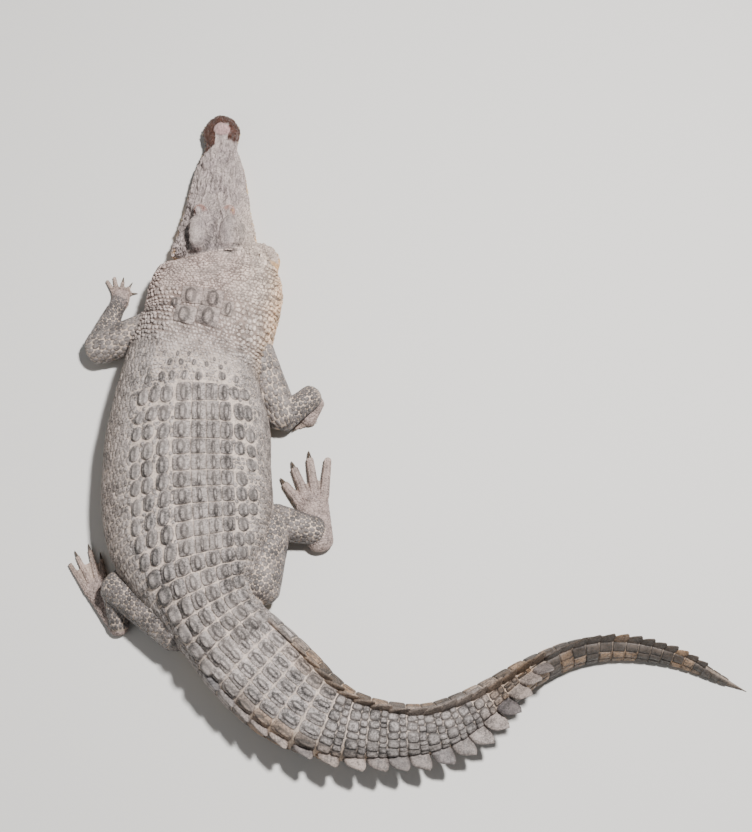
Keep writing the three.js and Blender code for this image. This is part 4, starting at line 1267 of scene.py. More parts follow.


# Roughness from and to, dust, size of the grain, tone at the foot, bump, painted shade on the keel's flanks,
# mottling.
scaleFinishes = {name: scaleFinish(name, *settings) for name, *settings in (
    ("backScutes", (0.42, 0.72), 0.32, 1.0, 1.15, 0.9, 0.60, 1.4),
    ("neckShield", (0.42, 0.72), 0.26, 1.0, 0.80, 0.9, 0.62, 1.3),
    ("neckScales", (0.55, 0.80), 0.36, 1.6, 0.36, 0.5, 0.0, 1.2),
    ("flankScales", (0.46, 0.74), 0.16, 1.6, 1.10, 0.5, 0.0, 1.4),
    ("tailScales", (0.40, 0.70), 0.24, 1.1, 1.10, 0.9, 0.68, 1.4),
    ("crestScutes", (0.42, 0.66), 0.12, 1.1, 0.70, 0.6, 0.0, 1.2),
    ("limbScales", (0.28, 0.52), 0.10, 1.5, 1.05, 0.5, 0.0, 1.1),
)}


def stainedFinish(name, colors, stainSize, stainTo, rough, bump):
    # a hard stuff with fine stains of a second colour
    finish, tree, shader = newFinish(name)
    stain = cloud(tree, objectPlace(tree), stainSize, 4.0)
    color = mixColor(tree, remap(tree, stain, 0.35, stainTo), *[opaque(rgb) for rgb in colors])
    tree.links.new(color, shader.inputs["Base Color"])
    roughened(tree, shader, stain, *rough)
    bumped(tree, shader, stain, *bump)
    return finish


eyeColors = {"fibre": (118, 86, 34), "gold": (196, 156, 74), "rim": (70, 50, 24), "white": (60, 46, 38)}


def eyeFinish():
    # amber iris with a slit pupil, dark towards its rim; the gaze attribute is the place on the ball
    finish, tree, shader = newFinish("crocodileEye")
    looks = node(tree, "Attribute", {"attribute_name": "gaze"}).outputs["Vector"]
    gaze = node(tree, "SeparateXYZ", Vector=looks)
    slitWay, upWay = gaze.outputs["X"], gaze.outputs["Y"]
    away = math2(tree, "SQRT", math2(tree, "ADD", math2(tree, "MULTIPLY", slitWay, slitWay),
                                     math2(tree, "MULTIPLY", upWay, upWay)), 0.0)
    fibres = cloud(tree, objectPlace(tree), 420.0, 5.0)
    fibre, gold = opaque(eyeColors["fibre"]), opaque(eyeColors["gold"])
    iris = mixColor(tree, remap(tree, fibres, 0.35, 0.65), fibre, gold)
    iris = mixColor(tree, remap(tree, away, 0.45, 0.80), iris, opaque(eyeColors["rim"]))
    iris = mixColor(tree, remap(tree, away, 0.74, 0.84), iris, opaque(eyeColors["white"]))
    across = math2(tree, "ABSOLUTE", slitWay, 0.0)
    closing = math2(tree, "MULTIPLY", math2(tree, "MULTIPLY", upWay, upWay), 0.24)
    narrow = math2(tree, "SUBTRACT", 0.15, closing)
    pupil = remap(tree, math2(tree, "SUBTRACT", narrow, across), 0.0, 0.03)
    color = mixColor(tree, pupil, iris, (0.004, 0.004, 0.004, 1))
    tree.links.new(color, shader.inputs["Base Color"])
    roughened(tree, shader, fibres, 0.05, 0.12)
    shader.inputs["Coat Weight"].default_value = 1.0
    shader.inputs["Coat Roughness"].default_value = 0.03
    return finish


# The skin's own colours, by what each point belongs to. Webs take those of the nearest part.
fleshLabels = ["body", "head", "head", "jowl"] + list(segments) + list(digits)
fleshTree = KDTree(sum(len(part.vertices) for part in fleshParts[:len(fleshLabels)]))
labelOf = []
for label, part in zip(fleshLabels, fleshParts):
    for vert in part.vertices:
        fleshTree.insert(vert.co, len(labelOf))
        labelOf.append(label)
fleshTree.balance()


def placeOnBody(points):
    # the length along the spine and the way round for points near the body
    plan = spineAt(rulerPlaces)
    rows = rowAt(spineTable, rulerPlaces)
    sides = spineWays(rulerPlaces)[1]
    s, d = np.empty(len(points)), np.empty(len(points))
    batch = 8000
    for start in range(0, len(points), batch):
        part = points[start:start + batch]
        away = ((part[:, None, :2] - plan[None]) ** 2).sum(axis=2)
        near = away.argmin(axis=1)
        across = ((part[:, :2] - plan[near]) * sides[near]).sum(axis=1)
        half, top, mid = rows[near, 2], rows[near, 3], rows[near, 4]
        rise = part[:, 2] - mid
        reach = np.where(rise > 0, top - mid, mid + bellySag)
        angle = np.arctan2(across / half, rise / reach)
        s[start:start + batch] = rulerLengths[near]
        d[start:start + batch] = angle * (half + reach) * 0.5
    return s, d


seams = {"body": 0.46, "neck": 0.72, "jowl": 0.6}    # how far the skin between scales has its own colour
# how strongly the head's hollows take a painted shade and its ridges a painted highlight
creaseShade = {"depth": 0.0007, "darker": 0.72, "ridgeHighlight": 0.12}


def skinTones(points):
    # the colour of each point, and how wet it is
    tones, wet = np.zeros((len(points), 3)), np.zeros(len(points))
    labels = np.array([labelOf[fleshTree.find(p)[1]] for p in points])
    now = np.isin(labels, ("body", "jowl"))
    s, d = placeOnBody(points[now])
    place = placeAt(s)
    neckShare = 1 - smoothBetween(5.5, 7.4, place)
    tan = seams["body"] * (1 - neckShare) * (1 - 0.5 * smoothBetween(25, 26.5, place))
    own = blend(bodyTone(s, d, points[now]), paint["seamTan"], tan)
    tones[now] = blend(own, paint["neckSeam"], seams["neck"] * neckShare * smoothBetween(0.0, 0.10, s))
    now = labels == "jowl"
    tones[now] = blend(tones[now], paint["jowlCream"], seams["jowl"])
    for kind, settings in limbPaints.items():
        now = np.array([label.startswith(kind) for label in labels])
        tones[now] = blend(limbTone(kind, points[now]), paint["seamTan"], settings[3])
    share = headWeight(points)
    now = share > 0
    onHeadTone, headWet = headTone(points[now])
    share = share[now] * ((labels[now] == "head") | (share[now] > 0.5))
    tones[now] = blend(tones[now], onHeadTone, share)
    wet[now] = headWet * share
    return tones, wet


def meanOfNeighbours(mesh, values):
    # each column of values, as its mean over the neighbours of each point
    ends = np.empty(len(mesh.edges) * 2, np.int32)
    mesh.edges.foreach_get("vertices", ends)
    ends = ends.reshape(-1, 2)
    total, count = np.zeros(values.shape), np.zeros(len(values))
    for a, b in ((0, 1), (1, 0)):
        for column in range(values.shape[1]):
            total[:, column] += np.bincount(ends[:, a], values[ends[:, b], column], len(values))
        count += np.bincount(ends[:, a], minlength=len(values))
    return total / np.maximum(count, 1)[:, None]


def hollows(mesh, points, normals):
    # how far each point lies below its neighbours: above 0 in creases, below 0 on ridges
    deep = ((meanOfNeighbours(mesh, points) - points) * normals).sum(axis=1)
    return 0.5 * deep + 0.5 * meanOfNeighbours(mesh, deep[:, None])[:, 0]


points, normals = meshPoints(mesh), meshNormals(mesh)
tones, wet = skinTones(points)
# painted shade in the head's hollows and painted highlight on its ridges, from how far each point lies below
# its neighbours
facingUp = 0.3 + 0.7 * smoothBetween(0.2, 0.7, normals[:, 2])
deep = hollows(mesh, points, normals) * headWeight(points) * facingUp
deep = np.clip(deep / creaseShade["depth"], -1, 1)[:, None]
tones *= 1 - creaseShade["darker"] * np.maximum(deep, 0) + creaseShade["ridgeHighlight"] * np.maximum(-deep, 0)
setColors(mesh, "tint", tones)
setColors(mesh, "wetness", np.repeat(wet[:, None], 3, axis=1))
fleshNodes = ["head_upper", "jaw_lower", "neck", "trunk_front", "trunk_rear", "tail_root", "tail_middle",
              "tail_rear", "tail_end"] + list(segments)
mesh.materials.clear()
mesh.materials.append(skinFinish())
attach(skinPiece, "root")
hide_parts(*fleshNodes)
print("skin coloured")

# Armour of the back. Rows run across the body, one for each whorl, columns along it.
crest = {
    "first": 17.2, "merge": 26.4, "gather": 23.4, "pitch": 0.069, "endPitch": 0.027, "splayMerge": 0.3,
    "tallFrom": 18.6, "tallTo": 25, "riseRoot": 0.018, "riseDouble": 0.070, "riseSingle": 0.056,
    "riseEnd": 0.012, "thick": 0.015, "overlap": 1.10, "lastBefore": 1.6,
    "rows": [(-1, 1.0, 0.05), (1, 0.84, 0.8)],       # side, angle from the crown, uprightness
}
back = {
    "firstRow": 7.8, "pitches": [0.075, 0.071, 0.067], "pitch": 0.0605, "columnWidth": 0.0525,
    "sweepLeft": 0.36, "sweepRight": 0.10, "plateReach": (-0.073, 0.145),
    "spreadPlaces": (7.8, 9.2, 12.0, 13.2), "spreads": (0.88, 1.0, 1.0, 0.86),  # up to where the plates end
    "plateEdges": (-0.073, -0.006, 0.048, 0.098, 0.145), "plateSize": (0.965, 0.492), "rise": 0.0225,
    "edgeSize": (0.93, 0.52), "edgeTurn": 0.06, "edgeRise": 0.024,
    "ovalPlaces": (-0.214, -0.164, -0.108, 0.172, 0.214), "ovalSize": (0.0300, 0.0218), "ovalRise": 0.0170,
    "missing": 0.25,                                 # share of the right side's ovals that are left out
    "edgePlaces": (0, 12.4, 13.4, 14, 15, 16, 17.2),
    "edgeReach": {-1: (0.235, 0.235, 0.195, 0.172, 0.158, 0.158, 0.185),
                  1: (0.235, 0.235, 0.19, 0.168, 0.156, 0.156, 0.168)},
    # ahead of the first row, reach round and half length
    "frontRows": ((0.028, 0.17, 0.020), (0.075, 0.14, 0.014), (0.112, 0.12, 0.010)),
    "frontPitch": 0.046, "frontKept": 0.86,
}


def stationLength(place):
    # metres of spine for one station
    place = float(np.clip(place, 0.32, spineEnd - 0.32))
    ends = spineAt(np.array([place - 0.2, place + 0.2]))
    return float(np.linalg.norm(ends[1] - ends[0])) / 0.4


def crestPitch(place):
    share = (place - crest["first"]) / (spineEnd - crest["first"])
    return mix(crest["pitch"], crest["endPitch"], share ** 2.2)


def crestPlaces():
    places, place = [], crest["first"]
    while place < spineEnd - 0.6:
        places.append(place)
        place += crestPitch(place) / stationLength(place)
    return places


def crestRise(place):
    if place < crest["merge"]:
        share = float(smoothBetween(crest["tallFrom"], crest["tallTo"], place))
        return mix(crest["riseRoot"], crest["riseDouble"], share)
    share = (place - crest["merge"]) / (spineEnd - crest["merge"])
    return mix(crest["riseSingle"], crest["riseEnd"], share ** 1.4)


def crestAngles(place):
    # angle from the crown and uprightness of each row that stands at a place
    if place > crest["merge"]:
        return [(0.0, 0.0)]
    share = float(smoothBetween(crest["gather"], crest["merge"], place))
    return [(way * mix(splay, crest["splayMerge"], share), upright) for way, splay, upright in crest["rows"]]


def roundLength(place, angle):
    row = roundTable[int(np.clip(round(place / spineEnd * (len(rulerPlaces) - 1)), 0, len(rulerPlaces) - 1))]
    return float(np.interp(angle, row, roundSteps))


def floorReach(place, way):
    # how far round the body reaches before it meets the floor
    angles = np.linspace(0.6, 2.6, 80) * way
    heights = bodyPoints(np.full(80, place), angles)[:, 2]
    above = angles[heights > 0.010]
    return roundLength(place, above[-1] if len(above) else 0.6 * way)


def sweep(s, d):
    share = 1 - smoothBetween(12.5, 15.8, placeAt(s))
    return np.where(d < 0, back["sweepLeft"], back["sweepRight"]) * d * d * share


def onTrunk(s, d, lift):
    return onBody(s + sweep(s, d), d, lift)


rowLengths = [lengthAt(back["firstRow"])]
for pitch in back["pitches"]:
    rowLengths.append(rowLengths[-1] + pitch)
crestStart = lengthAt(crest["first"])
left = crestStart - rowLengths[-1]
rowCount = round(left / back["pitch"])
rowLengths += [rowLengths[-1] + left * (i + 1) / rowCount for i in range(rowCount - 1)]


def edgeAt(place, way):
    # how far round the armour reaches on each side
    return np.interp(place, back["edgePlaces"], back["edgeReach"][way])


plates, ovals, edgeScutes, domed = [], [], [], []
for i, s in enumerate(rowLengths):
    place = float(placeAt(s))
    after = rowLengths[i + 1] if i + 1 < len(rowLengths) else crestStart
    long = (after - s) / 2
    if place < back["spreadPlaces"][-1]:
        spread = float(np.interp(place, back["spreadPlaces"], back["spreads"]))
        edges = np.array(back["plateEdges"]) * spread
        sides = [d * spread for d in back["ovalPlaces"]]
    else:
        leftEdge, rightEdge = -edgeAt(place, -1), edgeAt(place, 1)
        count = round((rightEdge - leftEdge) / back["columnWidth"])
        edges, sides = np.linspace(leftEdge, rightEdge, count + 1), []
    for j in range(len(edges) - 1):
        wide, d = edges[j + 1] - edges[j], (edges[j] + edges[j + 1]) / 2
        tone = 1 + dice.uniform(-0.16, 0.13)
        if j == 0 and not sides:
            edgeScutes.append((s + long, d, long * back["edgeSize"][0], wide * back["edgeSize"][1],
                               back["edgeTurn"], back["edgeRise"], tone * 0.9))
            continue
        target = plates if sides and 0 < j < len(edges) - 2 else domed
        target.append((s + long, d, long * back["plateSize"][0], wide * back["plateSize"][1], sway(0.03),
                       back["rise"] * dice.uniform(0.85, 1.15), tone))
    for d in sides:
        if d > 0 and dice.random() < back["missing"]:
            continue
        size = 1 - 1.6 * (abs(d) - 0.166)            # smaller further out
        ovals.append((s + long + sway(0.004), d + sway(0.004),
                      back["ovalSize"][0] * size, back["ovalSize"][1] * size, sway(0.12) + 0.12 * np.sign(d),
                      back["ovalRise"] * dice.uniform(0.8, 1.15), 1 + dice.uniform(-0.16, 0.13)))
# smaller scutes in rows before the first full one
for ahead, reach, long in back["frontRows"]:
    s = rowLengths[0] - ahead
    for d in np.arange(-reach, reach, back["frontPitch"]):
        if dice.random() < back["frontKept"]:
            ovals.append((s + sway(0.006), d + sway(0.006), long, long * 0.72, sway(0.2), long * 0.5,
                          1 + sway(0.12)))

# the shield on the neck: four great scutes and one on each side, by x, y, half length, half width and rise
nuchalPlaces = [(0.008, 0.552, 0.039, 0.042, 0.026), (0.089, 0.538, 0.039, 0.042, 0.026),
                (-0.008, 0.474, 0.040, 0.043, 0.028), (0.074, 0.464, 0.040, 0.043, 0.028),
                (-0.048, 0.522, 0.027, 0.020, 0.020), (0.143, 0.497, 0.029, 0.022, 0.022)]


def findOnTop(x, y):
    # the place on the body's upper side above a point of the plan
    s, d = [v.ravel() for v in np.meshgrid(np.linspace(0, 1.2, 241), np.linspace(-0.35, 0.35, 141))]
    away = np.linalg.norm(onBody(s, d)[:, :2] - (x, y), axis=1)
    best = int(away.argmin())
    return float(s[best]), float(d[best])


nuchals = []
for x, y, long, wide, rise in nuchalPlaces:
    s, d = findOnTop(x, y)
    nuchals.append((s, d, long, wide, sway(0.06), rise, 1 + sway(0.06)))

plateShape = plate(corner=0.12, keelWidth=0.24, keelRise=0.70, crown=0.12, rake=0.3)
domedShape = plate(corner=0.42, keelWidth=0.30, keelRise=0.58, crown=0.30, rake=0.3)
ovalShape = plate(corner=0.90, keelWidth=0.34, keelRise=0.55, crown=0.25, rake=0.4)
greatShape = plate(corner=0.30, keelWidth=0.36, keelRise=0.60, crown=0.34, rake=0.3)
edgeShape = plate(corner=0.80, keelWidth=0.50, keelRise=0.45, crown=0.35, rake=0.5)
pebbleShape = pebble()

coatPiece("backScutes", [
    scaleMesh(plateShape, plates, onTrunk, hideTone, bodySheet, True),
    scaleMesh(domedShape, domed, onTrunk, hideTone, bodySheet, True),
    scaleMesh(ovalShape, ovals, onTrunk, hideTone, bodySheet, True),
    scaleMesh(edgeShape, edgeScutes, onTrunk, hideTone, bodySheet, True),
], scaleFinishes["backScutes"])
coatPiece("neckShield", [scaleMesh(greatShape, nuchals, onBody, hideTone, bodySheet, True)],
          scaleFinishes["neckShield"])

# Small scales of neck, gaps and flanks. A field has its reach round, pitch along and round, and jitter.
# A size has half length, half width and rise, then how far sizes, turns and tones differ.
smallScales = {
    "granules": {"field": (0.34, 0.0105, 0.0125, 0.26), "room": 0.004, "size": (0.0050, 0.0064, 0.0028)},
    "tiny": {"field": (0.26, 0.0135, 0.0140, 0.22), "room": 0.003, "size": (0.0062, 0.0064, 0.0042, 0.22)},
    "knobs": {"field": (0.62, 0.0185, 0.0180, 0.20), "room": 0.006,
              "size": (0.0082, 0.0082, 0.0085, 0.26, 0.5, 0.24)},
    "gaps": {"field": (0.30, 0.0170, 0.0145, 0.16), "room": 0.0035,
             "size": (0.0094, 0.0082, 0.0030, 0.2, 0.5, 0.18)},
    "flank": {"field": (0.62, 0.0225, 0.0175, 0.14), "room": 0.006,
              "size": (0.0128, 0.0098, 0.0034, 0.10, 0.22, 0.22)},
}
zones = {                                            # lengths along the spine where each kind starts or ends
    "granules": 0.036, "knobs": 0.032, "napeEnd": 0.235, "shoulder": lengthAt(6.4), "hip": lengthAt(16.9),
    "armour": rowLengths[0] - 0.02,
}
allScutes = plates + ovals + edgeScutes + domed


def fieldOf(name, start, end, inZone, scutes):
    # places for one kind of small scale, where it belongs and no scute covers them
    kind = smallScales[name]
    field = hexField(start, end, *kind["field"])
    return clearOf(field[inZone(field[:, 0], field[:, 1])], scutes, kind["room"])


def napeWidth(s):
    return 0.17 + 0.25 * s


def neckWidth(s):
    return 0.10 + 0.22 * (s - zones["napeEnd"])


def sideReach(s, d):
    place = placeAt(s)
    return np.where(d < 0, edgeAt(place, -1), edgeAt(place, 1)) + 0.006


def onNape(s, d):
    return np.abs(d) < napeWidth(s)


def onNeck(s, d):
    return np.abs(d) < neckWidth(s)


def besideNeck(s, d):
    return np.abs(d) >= np.where(s < zones["napeEnd"], napeWidth(s), neckWidth(s)) - 0.002


def besidePlates(s, d):
    return ((d < back["plateReach"][0]) | (d > back["plateReach"][1])) & (np.abs(d) < sideReach(s, d))


def onFlank(s, d):
    return np.abs(d) >= np.where(s < zones["armour"], neckWidth(s), sideReach(s, d))


def pebbles(name, field, onSkin, toneOf):
    return scaleMesh(pebbleShape, scatter(field, *smallScales[name]["size"]), onSkin, toneOf, bodySheet)


granules = fieldOf("granules", zones["granules"], zones["napeEnd"], onNape, nuchals)
tiny = fieldOf("tiny", zones["napeEnd"], rowLengths[0], onNeck, allScutes + nuchals)
knobs = fieldOf("knobs", zones["knobs"], zones["shoulder"], besideNeck, allScutes + nuchals)
coatPiece("neckScales", [
    pebbles("granules", granules, onBody, bodyTone), pebbles("tiny", tiny, onBody, bodyTone),
    pebbles("knobs", knobs, onBody, bodyTone),
], scaleFinishes["neckScales"])

gaps = fieldOf("gaps", zones["armour"], crestStart, besidePlates, allScutes)
flankField = fieldOf("flank", zones["shoulder"] - 0.02, zones["hip"], onFlank, allScutes)
flankRows = scatter(flankField, *smallScales["flank"]["size"])
nearShoulder = 1 - smoothBetween(rowLengths[0], rowLengths[0] + 0.5, flankRows[:, 0])
flankRows[:, 2] *= 1 + 0.25 * nearShoulder
flankRows[:, 3] *= 1 - 0.12 * nearShoulder
coatPiece("flankScales", [
    pebbles("gaps", gaps, onTrunk, hideTone),
    scaleMesh(pebbleShape, flankRows, onTrunk, hideTone, bodySheet),
], scaleFinishes["flankScales"])

# Whorls of the tail, and its crest.
tileShape = plate(corner=0.10, keelWidth=0.5, keelRise=0.12, crown=0.15, rake=0.1)
patchShape = plate(corner=0.42, keelWidth=0.6, keelRise=0.20, crown=0.22, rake=0.1)
whorl = {
    "insideCrest": (0.014, 0.012), "outsideCrest": (0.030, 0.026), "besideSingle": 0.006,
    "topsUntil": 20.4, "topWidth": 0.052, "topSize": (0.965, 0.490), "topRise": 0.0145,
    "patchRows": ((-0.20, 0.60, 0.034), (0.30, 0.40, 0.024)),  # middle, share of the pitch, width
    "patchSize": (0.51, 0.505), "patchRise": 0.0090, "patchTone": 0.80,
    "tileWidth": 0.034, "wideFrom": 25, "wideTile": 0.042, "tileSize": (0.955, 0.480), "tileRise": 0.0060,
    "narrowest": 0.012,
}
tops, tiles, patchwork = [], [], []


def addTops(s, left, width, long):
    # keeled scutes side by side between the two rows of the crest
    count = max(2, round(width / whorl["topWidth"]))
    for j in range(count):
        tops.append((s, left + width * (j + 0.5) / count, long * whorl["topSize"][0],
                     width / count * whorl["topSize"][1], sway(0.04),
                     whorl["topRise"] * dice.uniform(0.85, 1.15), 1 + sway(0.12)))


def addPatchwork(s, left, width, pitch):
    # flat many-sided scales between the rows, in two uneven lines to each whorl
    for middle, share, step in whorl["patchRows"]:
        count = max(2, round(width / step))
        moved = np.concatenate([[0], dice.uniform(-0.22, 0.22, count - 1), [0]])
        cuts = (np.arange(count + 1) + moved) / count
        for a, b in zip(cuts[:-1], cuts[1:]):
            patchwork.append((s + middle * pitch + sway(0.0015), left + width * (a + b) / 2,
                              pitch * share * whorl["patchSize"][0], width * (b - a) * whorl["patchSize"][1],
                              sway(0.08), whorl["patchRise"] * dice.uniform(0.75, 1.25),
                              whorl["patchTone"] + dice.uniform(-0.18, 0.14)))


def addTiles(s, place, way, start, pitch):
    # flat tiles down one side, from the crest to the floor
    width = abs(floorReach(place, way)) - abs(start)
    if width < whorl["narrowest"]:
        return
    count = max(1, round(width / (whorl["tileWidth"] if place < whorl["wideFrom"] else whorl["wideTile"])))
    for j in range(count):
        tiles.append((s, way * (abs(start) + width * (j + 0.5) / count), pitch / 2 * whorl["tileSize"][0],
                      width / count * whorl["tileSize"][1], sway(0.02),
                      whorl["tileRise"] * min(1, pitch / 0.05) * dice.uniform(0.85, 1.1), 1 + sway(0.14)))


whorls = crestPlaces()
for place in whorls:
    pitch = min(crest["pitch"], crestPitch(place))
    s = lengthAt(place)
    angles = [angle for angle, _ in crestAngles(place)]
    starts = (-whorl["besideSingle"], whorl["besideSingle"])
    if len(angles) == 2:
        left = roundLength(place, angles[0]) + whorl["insideCrest"][0]
        right = roundLength(place, angles[1]) - whorl["insideCrest"][1]
        starts = (left - whorl["outsideCrest"][0], right + whorl["outsideCrest"][1])
        if place < whorl["topsUntil"]:
            addTops(s, left, right - left, pitch / 2)
        else:
            addPatchwork(s, left, right - left, pitch)
    for way, start in zip((-1, 1), starts):
        addTiles(s, place, way, start, pitch)
coatPiece("tailScales", [
    scaleMesh(domedShape, tops, onBody, tailTone, bodySheet, True),
    scaleMesh(tileShape, tiles, onBody, tailTone, bodySheet, True),
    scaleMesh(patchShape, patchwork, onBody, tailTone, bodySheet, True),
], scaleFinishes["tailScales"])


def crestWays(at, angle, upright):
    # unit vectors of one scute: towards the tail, out of the skin or up, and through its thickness
    ahead = np.append(spineWays(at)[0][0], 0.0)
    around = (bodyPoints(at, np.array([angle + 0.05])) - bodyPoints(at, np.array([angle - 0.05])))[0]
    around /= np.linalg.norm(around)
    out = np.cross(around, ahead)
    out = mix(out * np.sign(out[2]), np.array([0, 0, 1.0]), upright)
    out /= np.linalg.norm(out)
    return ahead, out, np.cross(ahead, out)


def crestTone(s, d, root, angle, single):
    # dusty slate on the left row, brown panels on the right, and the body's own bars behind the merge
    tone = bodyTone(s, d, root[None])[0]
    slate = blend(paint["crestSlate"], paint["crestDust"], 0.50 + dice.uniform(-0.5, 0.45))
    if not single and angle < 0:
        tone = mix(tone, slate, 0.85)
    elif not single:
        tone = mix(tone, paint["panelBrown"] * dice.uniform(0.6, 1.2), 0.7)
    return tone * dice.uniform(0.86, 1.12)


def crestMesh():
    # each scute keeps the place, lean and height of the solid crest's own
    template = blade()
    shape = meshPoints(template)
    scutes = [(place, angle, upright) for place in whorls for angle, upright in crestAngles(place)
              if place < spineEnd - crest["lastBefore"]]
    mesh = manyOf(template, len(scutes))
    allPoints, tints, sheets = [], [], []
    for place, angle, upright in scutes:
        at, single = np.array([place]), place > crest["merge"]
        long = min(crest["pitch"], crestPitch(place)) * crest["overlap"]
        thick = min(crest["thick"], float(rowAt(spineTable, place)[2]) * 0.5) * (0.62 if single else 0.80)
        root = bodyPoints(at, np.array([angle]), -coatDepth)[0]
        ahead, out, through = crestWays(at, angle, upright)
        u = shape[:, 0] * long + sway(0.06) * 0.02 * shape[:, 2]
        v = shape[:, 1] * thick + shape[:, 2] ** 2 * sway(0.004)
        h = shape[:, 2] * (crestRise(place) + coatDepth)
        allPoints.append(root + ahead * u[:, None] + out * h[:, None] + through * v[:, None])
        s, d = np.array([lengthAt(place)]), np.array([roundLength(place, angle)])
        tints.append(np.repeat(crestTone(s, d, root, angle, single)[None], len(shape), axis=0))
        sheetU, sheetV = bodySheet(s, d)
        onSheet = [sheetU + shape[:, 0] * long * 0.7, sheetV + (shape[:, 2] - 0.5) * 0.010]
        sheets.append(np.stack(onSheet, axis=-1))
    setPoints(mesh, np.concatenate(allPoints))
    setColors(mesh, "tint", np.concatenate(tints))
    height = np.clip(shape[:, 2], 0, 1)
    relief = np.stack([0.25 + 0.75 * height, 1 - np.abs(shape[:, 0]) * 2, np.full(len(shape), 0.5)], axis=1)
    setColors(mesh, "relief", np.tile(relief, (len(scutes), 1)))
    setSheet(mesh, np.clip(np.concatenate(sheets), 0, 1))
    return mesh


coatPiece("tailCrest", [crestMesh()], scaleFinishes["crestScutes"])

# Scales of the limbs.
limbScales = {                                       # pitch along, pitch around, rise
    "upper_arm": (0.0320, 0.0225, 0.0030), "forearm": (0.0200, 0.0180, 0.0028),
    "thigh": (0.0225, 0.0215, 0.0028), "shank": (0.0260, 0.0210, 0.0030),
    "hand": (0.0115, 0.0110, 0.0022), "foot": (0.0135, 0.0130, 0.0024),
}
digitScales = {"pitch": 0.0100, "long": 0.0052, "round": 0.068, "rise": 0.0027, "angles": (0.12, 0.25, 0.38)}
sheetCells = 6


def limbSheet(cell):
    # each limb part unwraps into its own cell of the sheet
    def place(s, d):
        u = (cell % sheetCells + 0.06) / sheetCells + s * 0.24
        return u, (cell // sheetCells + 0.5) / sheetCells + np.sin(d * 3) * 0.06
    return place


def wrapped(part):
    return lambda s, d, lift: part.points(np.clip(s, 0.0002, part.length - 0.0002), d, lift)


limbMeshes, handMeshes = [], []
for cell, (name, part) in enumerate(segments.items()):
    kind = name.rsplit("_", 1)[0]
    pitchLong, pitchRound, rise = limbScales[kind]
    rounds = max(6, round(part.girth / pitchRound))
    starts = np.arange(part.caps[0] * 0.25, part.length - part.caps[1] * 0.2, pitchLong * 0.80)
    field = [(s, (j + (i % 2) * 0.5) * part.girth / rounds)
             for i, s in enumerate(starts) for j in range(rounds)]
    field = np.array(field) + dice.uniform(-0.1, 0.1, (len(field), 2)) * (pitchLong, pitchRound)
    rows = scatter(field, pitchLong * 0.50, pitchRound * 0.545, rise, 0.04, 0.08, 0.16)
    target = handMeshes if kind in ("hand", "foot") else limbMeshes
    target.append(scaleMesh(pebbleShape, rows, wrapped(part), limbToneOf(kind), limbSheet(cell)))
for cell, (name, part) in enumerate(digits.items()):
    toneOf = limbToneOf(name.split("_")[0])
    rows = [(s, angle * part.girth, digitScales["long"], part.girth * digitScales["round"], 0.0,
             digitScales["rise"], 1 + sway(0.12))
            for s in np.arange(0.004, part.length - part.caps[1] * 0.6, digitScales["pitch"])
            for angle in digitScales["angles"]]
    handMeshes.append(scaleMesh(pebbleShape, rows, wrapped(part), toneOf, limbSheet(len(segments) + cell)))
coatPiece("limbScales", limbMeshes, scaleFinishes["limbScales"])
coatPiece("handAndFootScales", handMeshes, scaleFinishes["limbScales"])

# Claws, eyes and teeth.
clawFinish = stainedFinish("clawHorn", ((44, 36, 30), (96, 82, 68)), 240.0, 0.7, (0.28, 0.46), (0.3, 0.0006))


def clawMesh(root, along, radius, length):
    # a tapering horn that curves down to the floor
    bm = bmesh.new()
    bmesh.ops.create_cone(bm, cap_ends=True, segments=14, radius1=1, radius2=0.08, depth=1)
    longEdges = [e for e in bm.edges if abs(e.verts[0].co.z - e.verts[1].co.z) > 0.5]
    bmesh.ops.subdivide_edges(bm, edges=longEdges, cuts=7)
    across = np.array([-along[1], along[0], 0.0])
    for vert in bm.verts:
        share = vert.co.z + 0.5
        full = (1 - share ** 1.6) * 0.9 + 0.1
        fromAxis = max(math.hypot(vert.co.x, vert.co.y), 1e-6)
        x, y = (vert.co.x / fromAxis, vert.co.y / fromAxis) if share < 1 else (0, 0)
        height = root[2] + math.sin(share * math.pi * 0.62) * radius * 0.9 - share ** 2 * radius * 1.1
        point = np.array(root) + along * share * length + across * x * radius * 0.86 * full
        vert.co = (point[0], point[1], max(height + y * radius * full, 0.0006))
    bmesh.ops.recalc_face_normals(bm, faces=bm.faces)
    return meshFrom(bm, "claw")


for footName, foot in feet.items():
    made = []
    for i in range(clawedDigits):
        base, tip = digitRoots(foot)[i] * mm, np.array(foot["digits"][i]) * mm
        along = np.append((tip - base) / np.linalg.norm(tip - base), 0.0)
        radius = foot["digitRadius"] * 0.52 * mm
        start = np.array([*tip, foot["digitRadius"] * 0.62 * mm]) - along * 0.004
        made.append(clawMesh(start, along, radius, (foot["clawLength"] + foot["digitRadius"]) * mm))
    joined = joinedMesh(made, "claws")
    joined.shade_smooth()
    joined.materials.append(clawFinish)
    claws = placed("claws_" + footName, joined)
    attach(claws, "root")
    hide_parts(*["claw_" + footName + "_" + str(i + 1) for i in range(clawedDigits)])

eyeballFinish = eyeFinish()
for side, way, centre in zip(("left", "right"), (-1, 1), eyeCentres):
    bm = bmesh.new()
    bmesh.ops.create_uvsphere(bm, u_segments=48, v_segments=32, radius=head["eyeRadius"])
    ball = meshFrom(bm, "eye_" + side)
    ball.shade_smooth()
    gaze, slitWay, upWay = eyeWays(way)
    local = meshPoints(ball)
    unit = local / head["eyeRadius"]
    looks = np.stack([unit @ slitWay, unit @ upWay, unit @ gaze], axis=1)
    looks[looks[:, 2] < 0] = (1, 1, 0)
    layer = ball.attributes.new("gaze", "FLOAT_VECTOR", "POINT")
    layer.data.foreach_set("vector", looks.astype(np.float32).ravel())
    setPoints(ball, local + np.array(centre))
    ball.materials.append(eyeballFinish)
    eye = placed("eyeBall_" + side, ball)
    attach(eye, "root")
    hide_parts("eye_" + side)

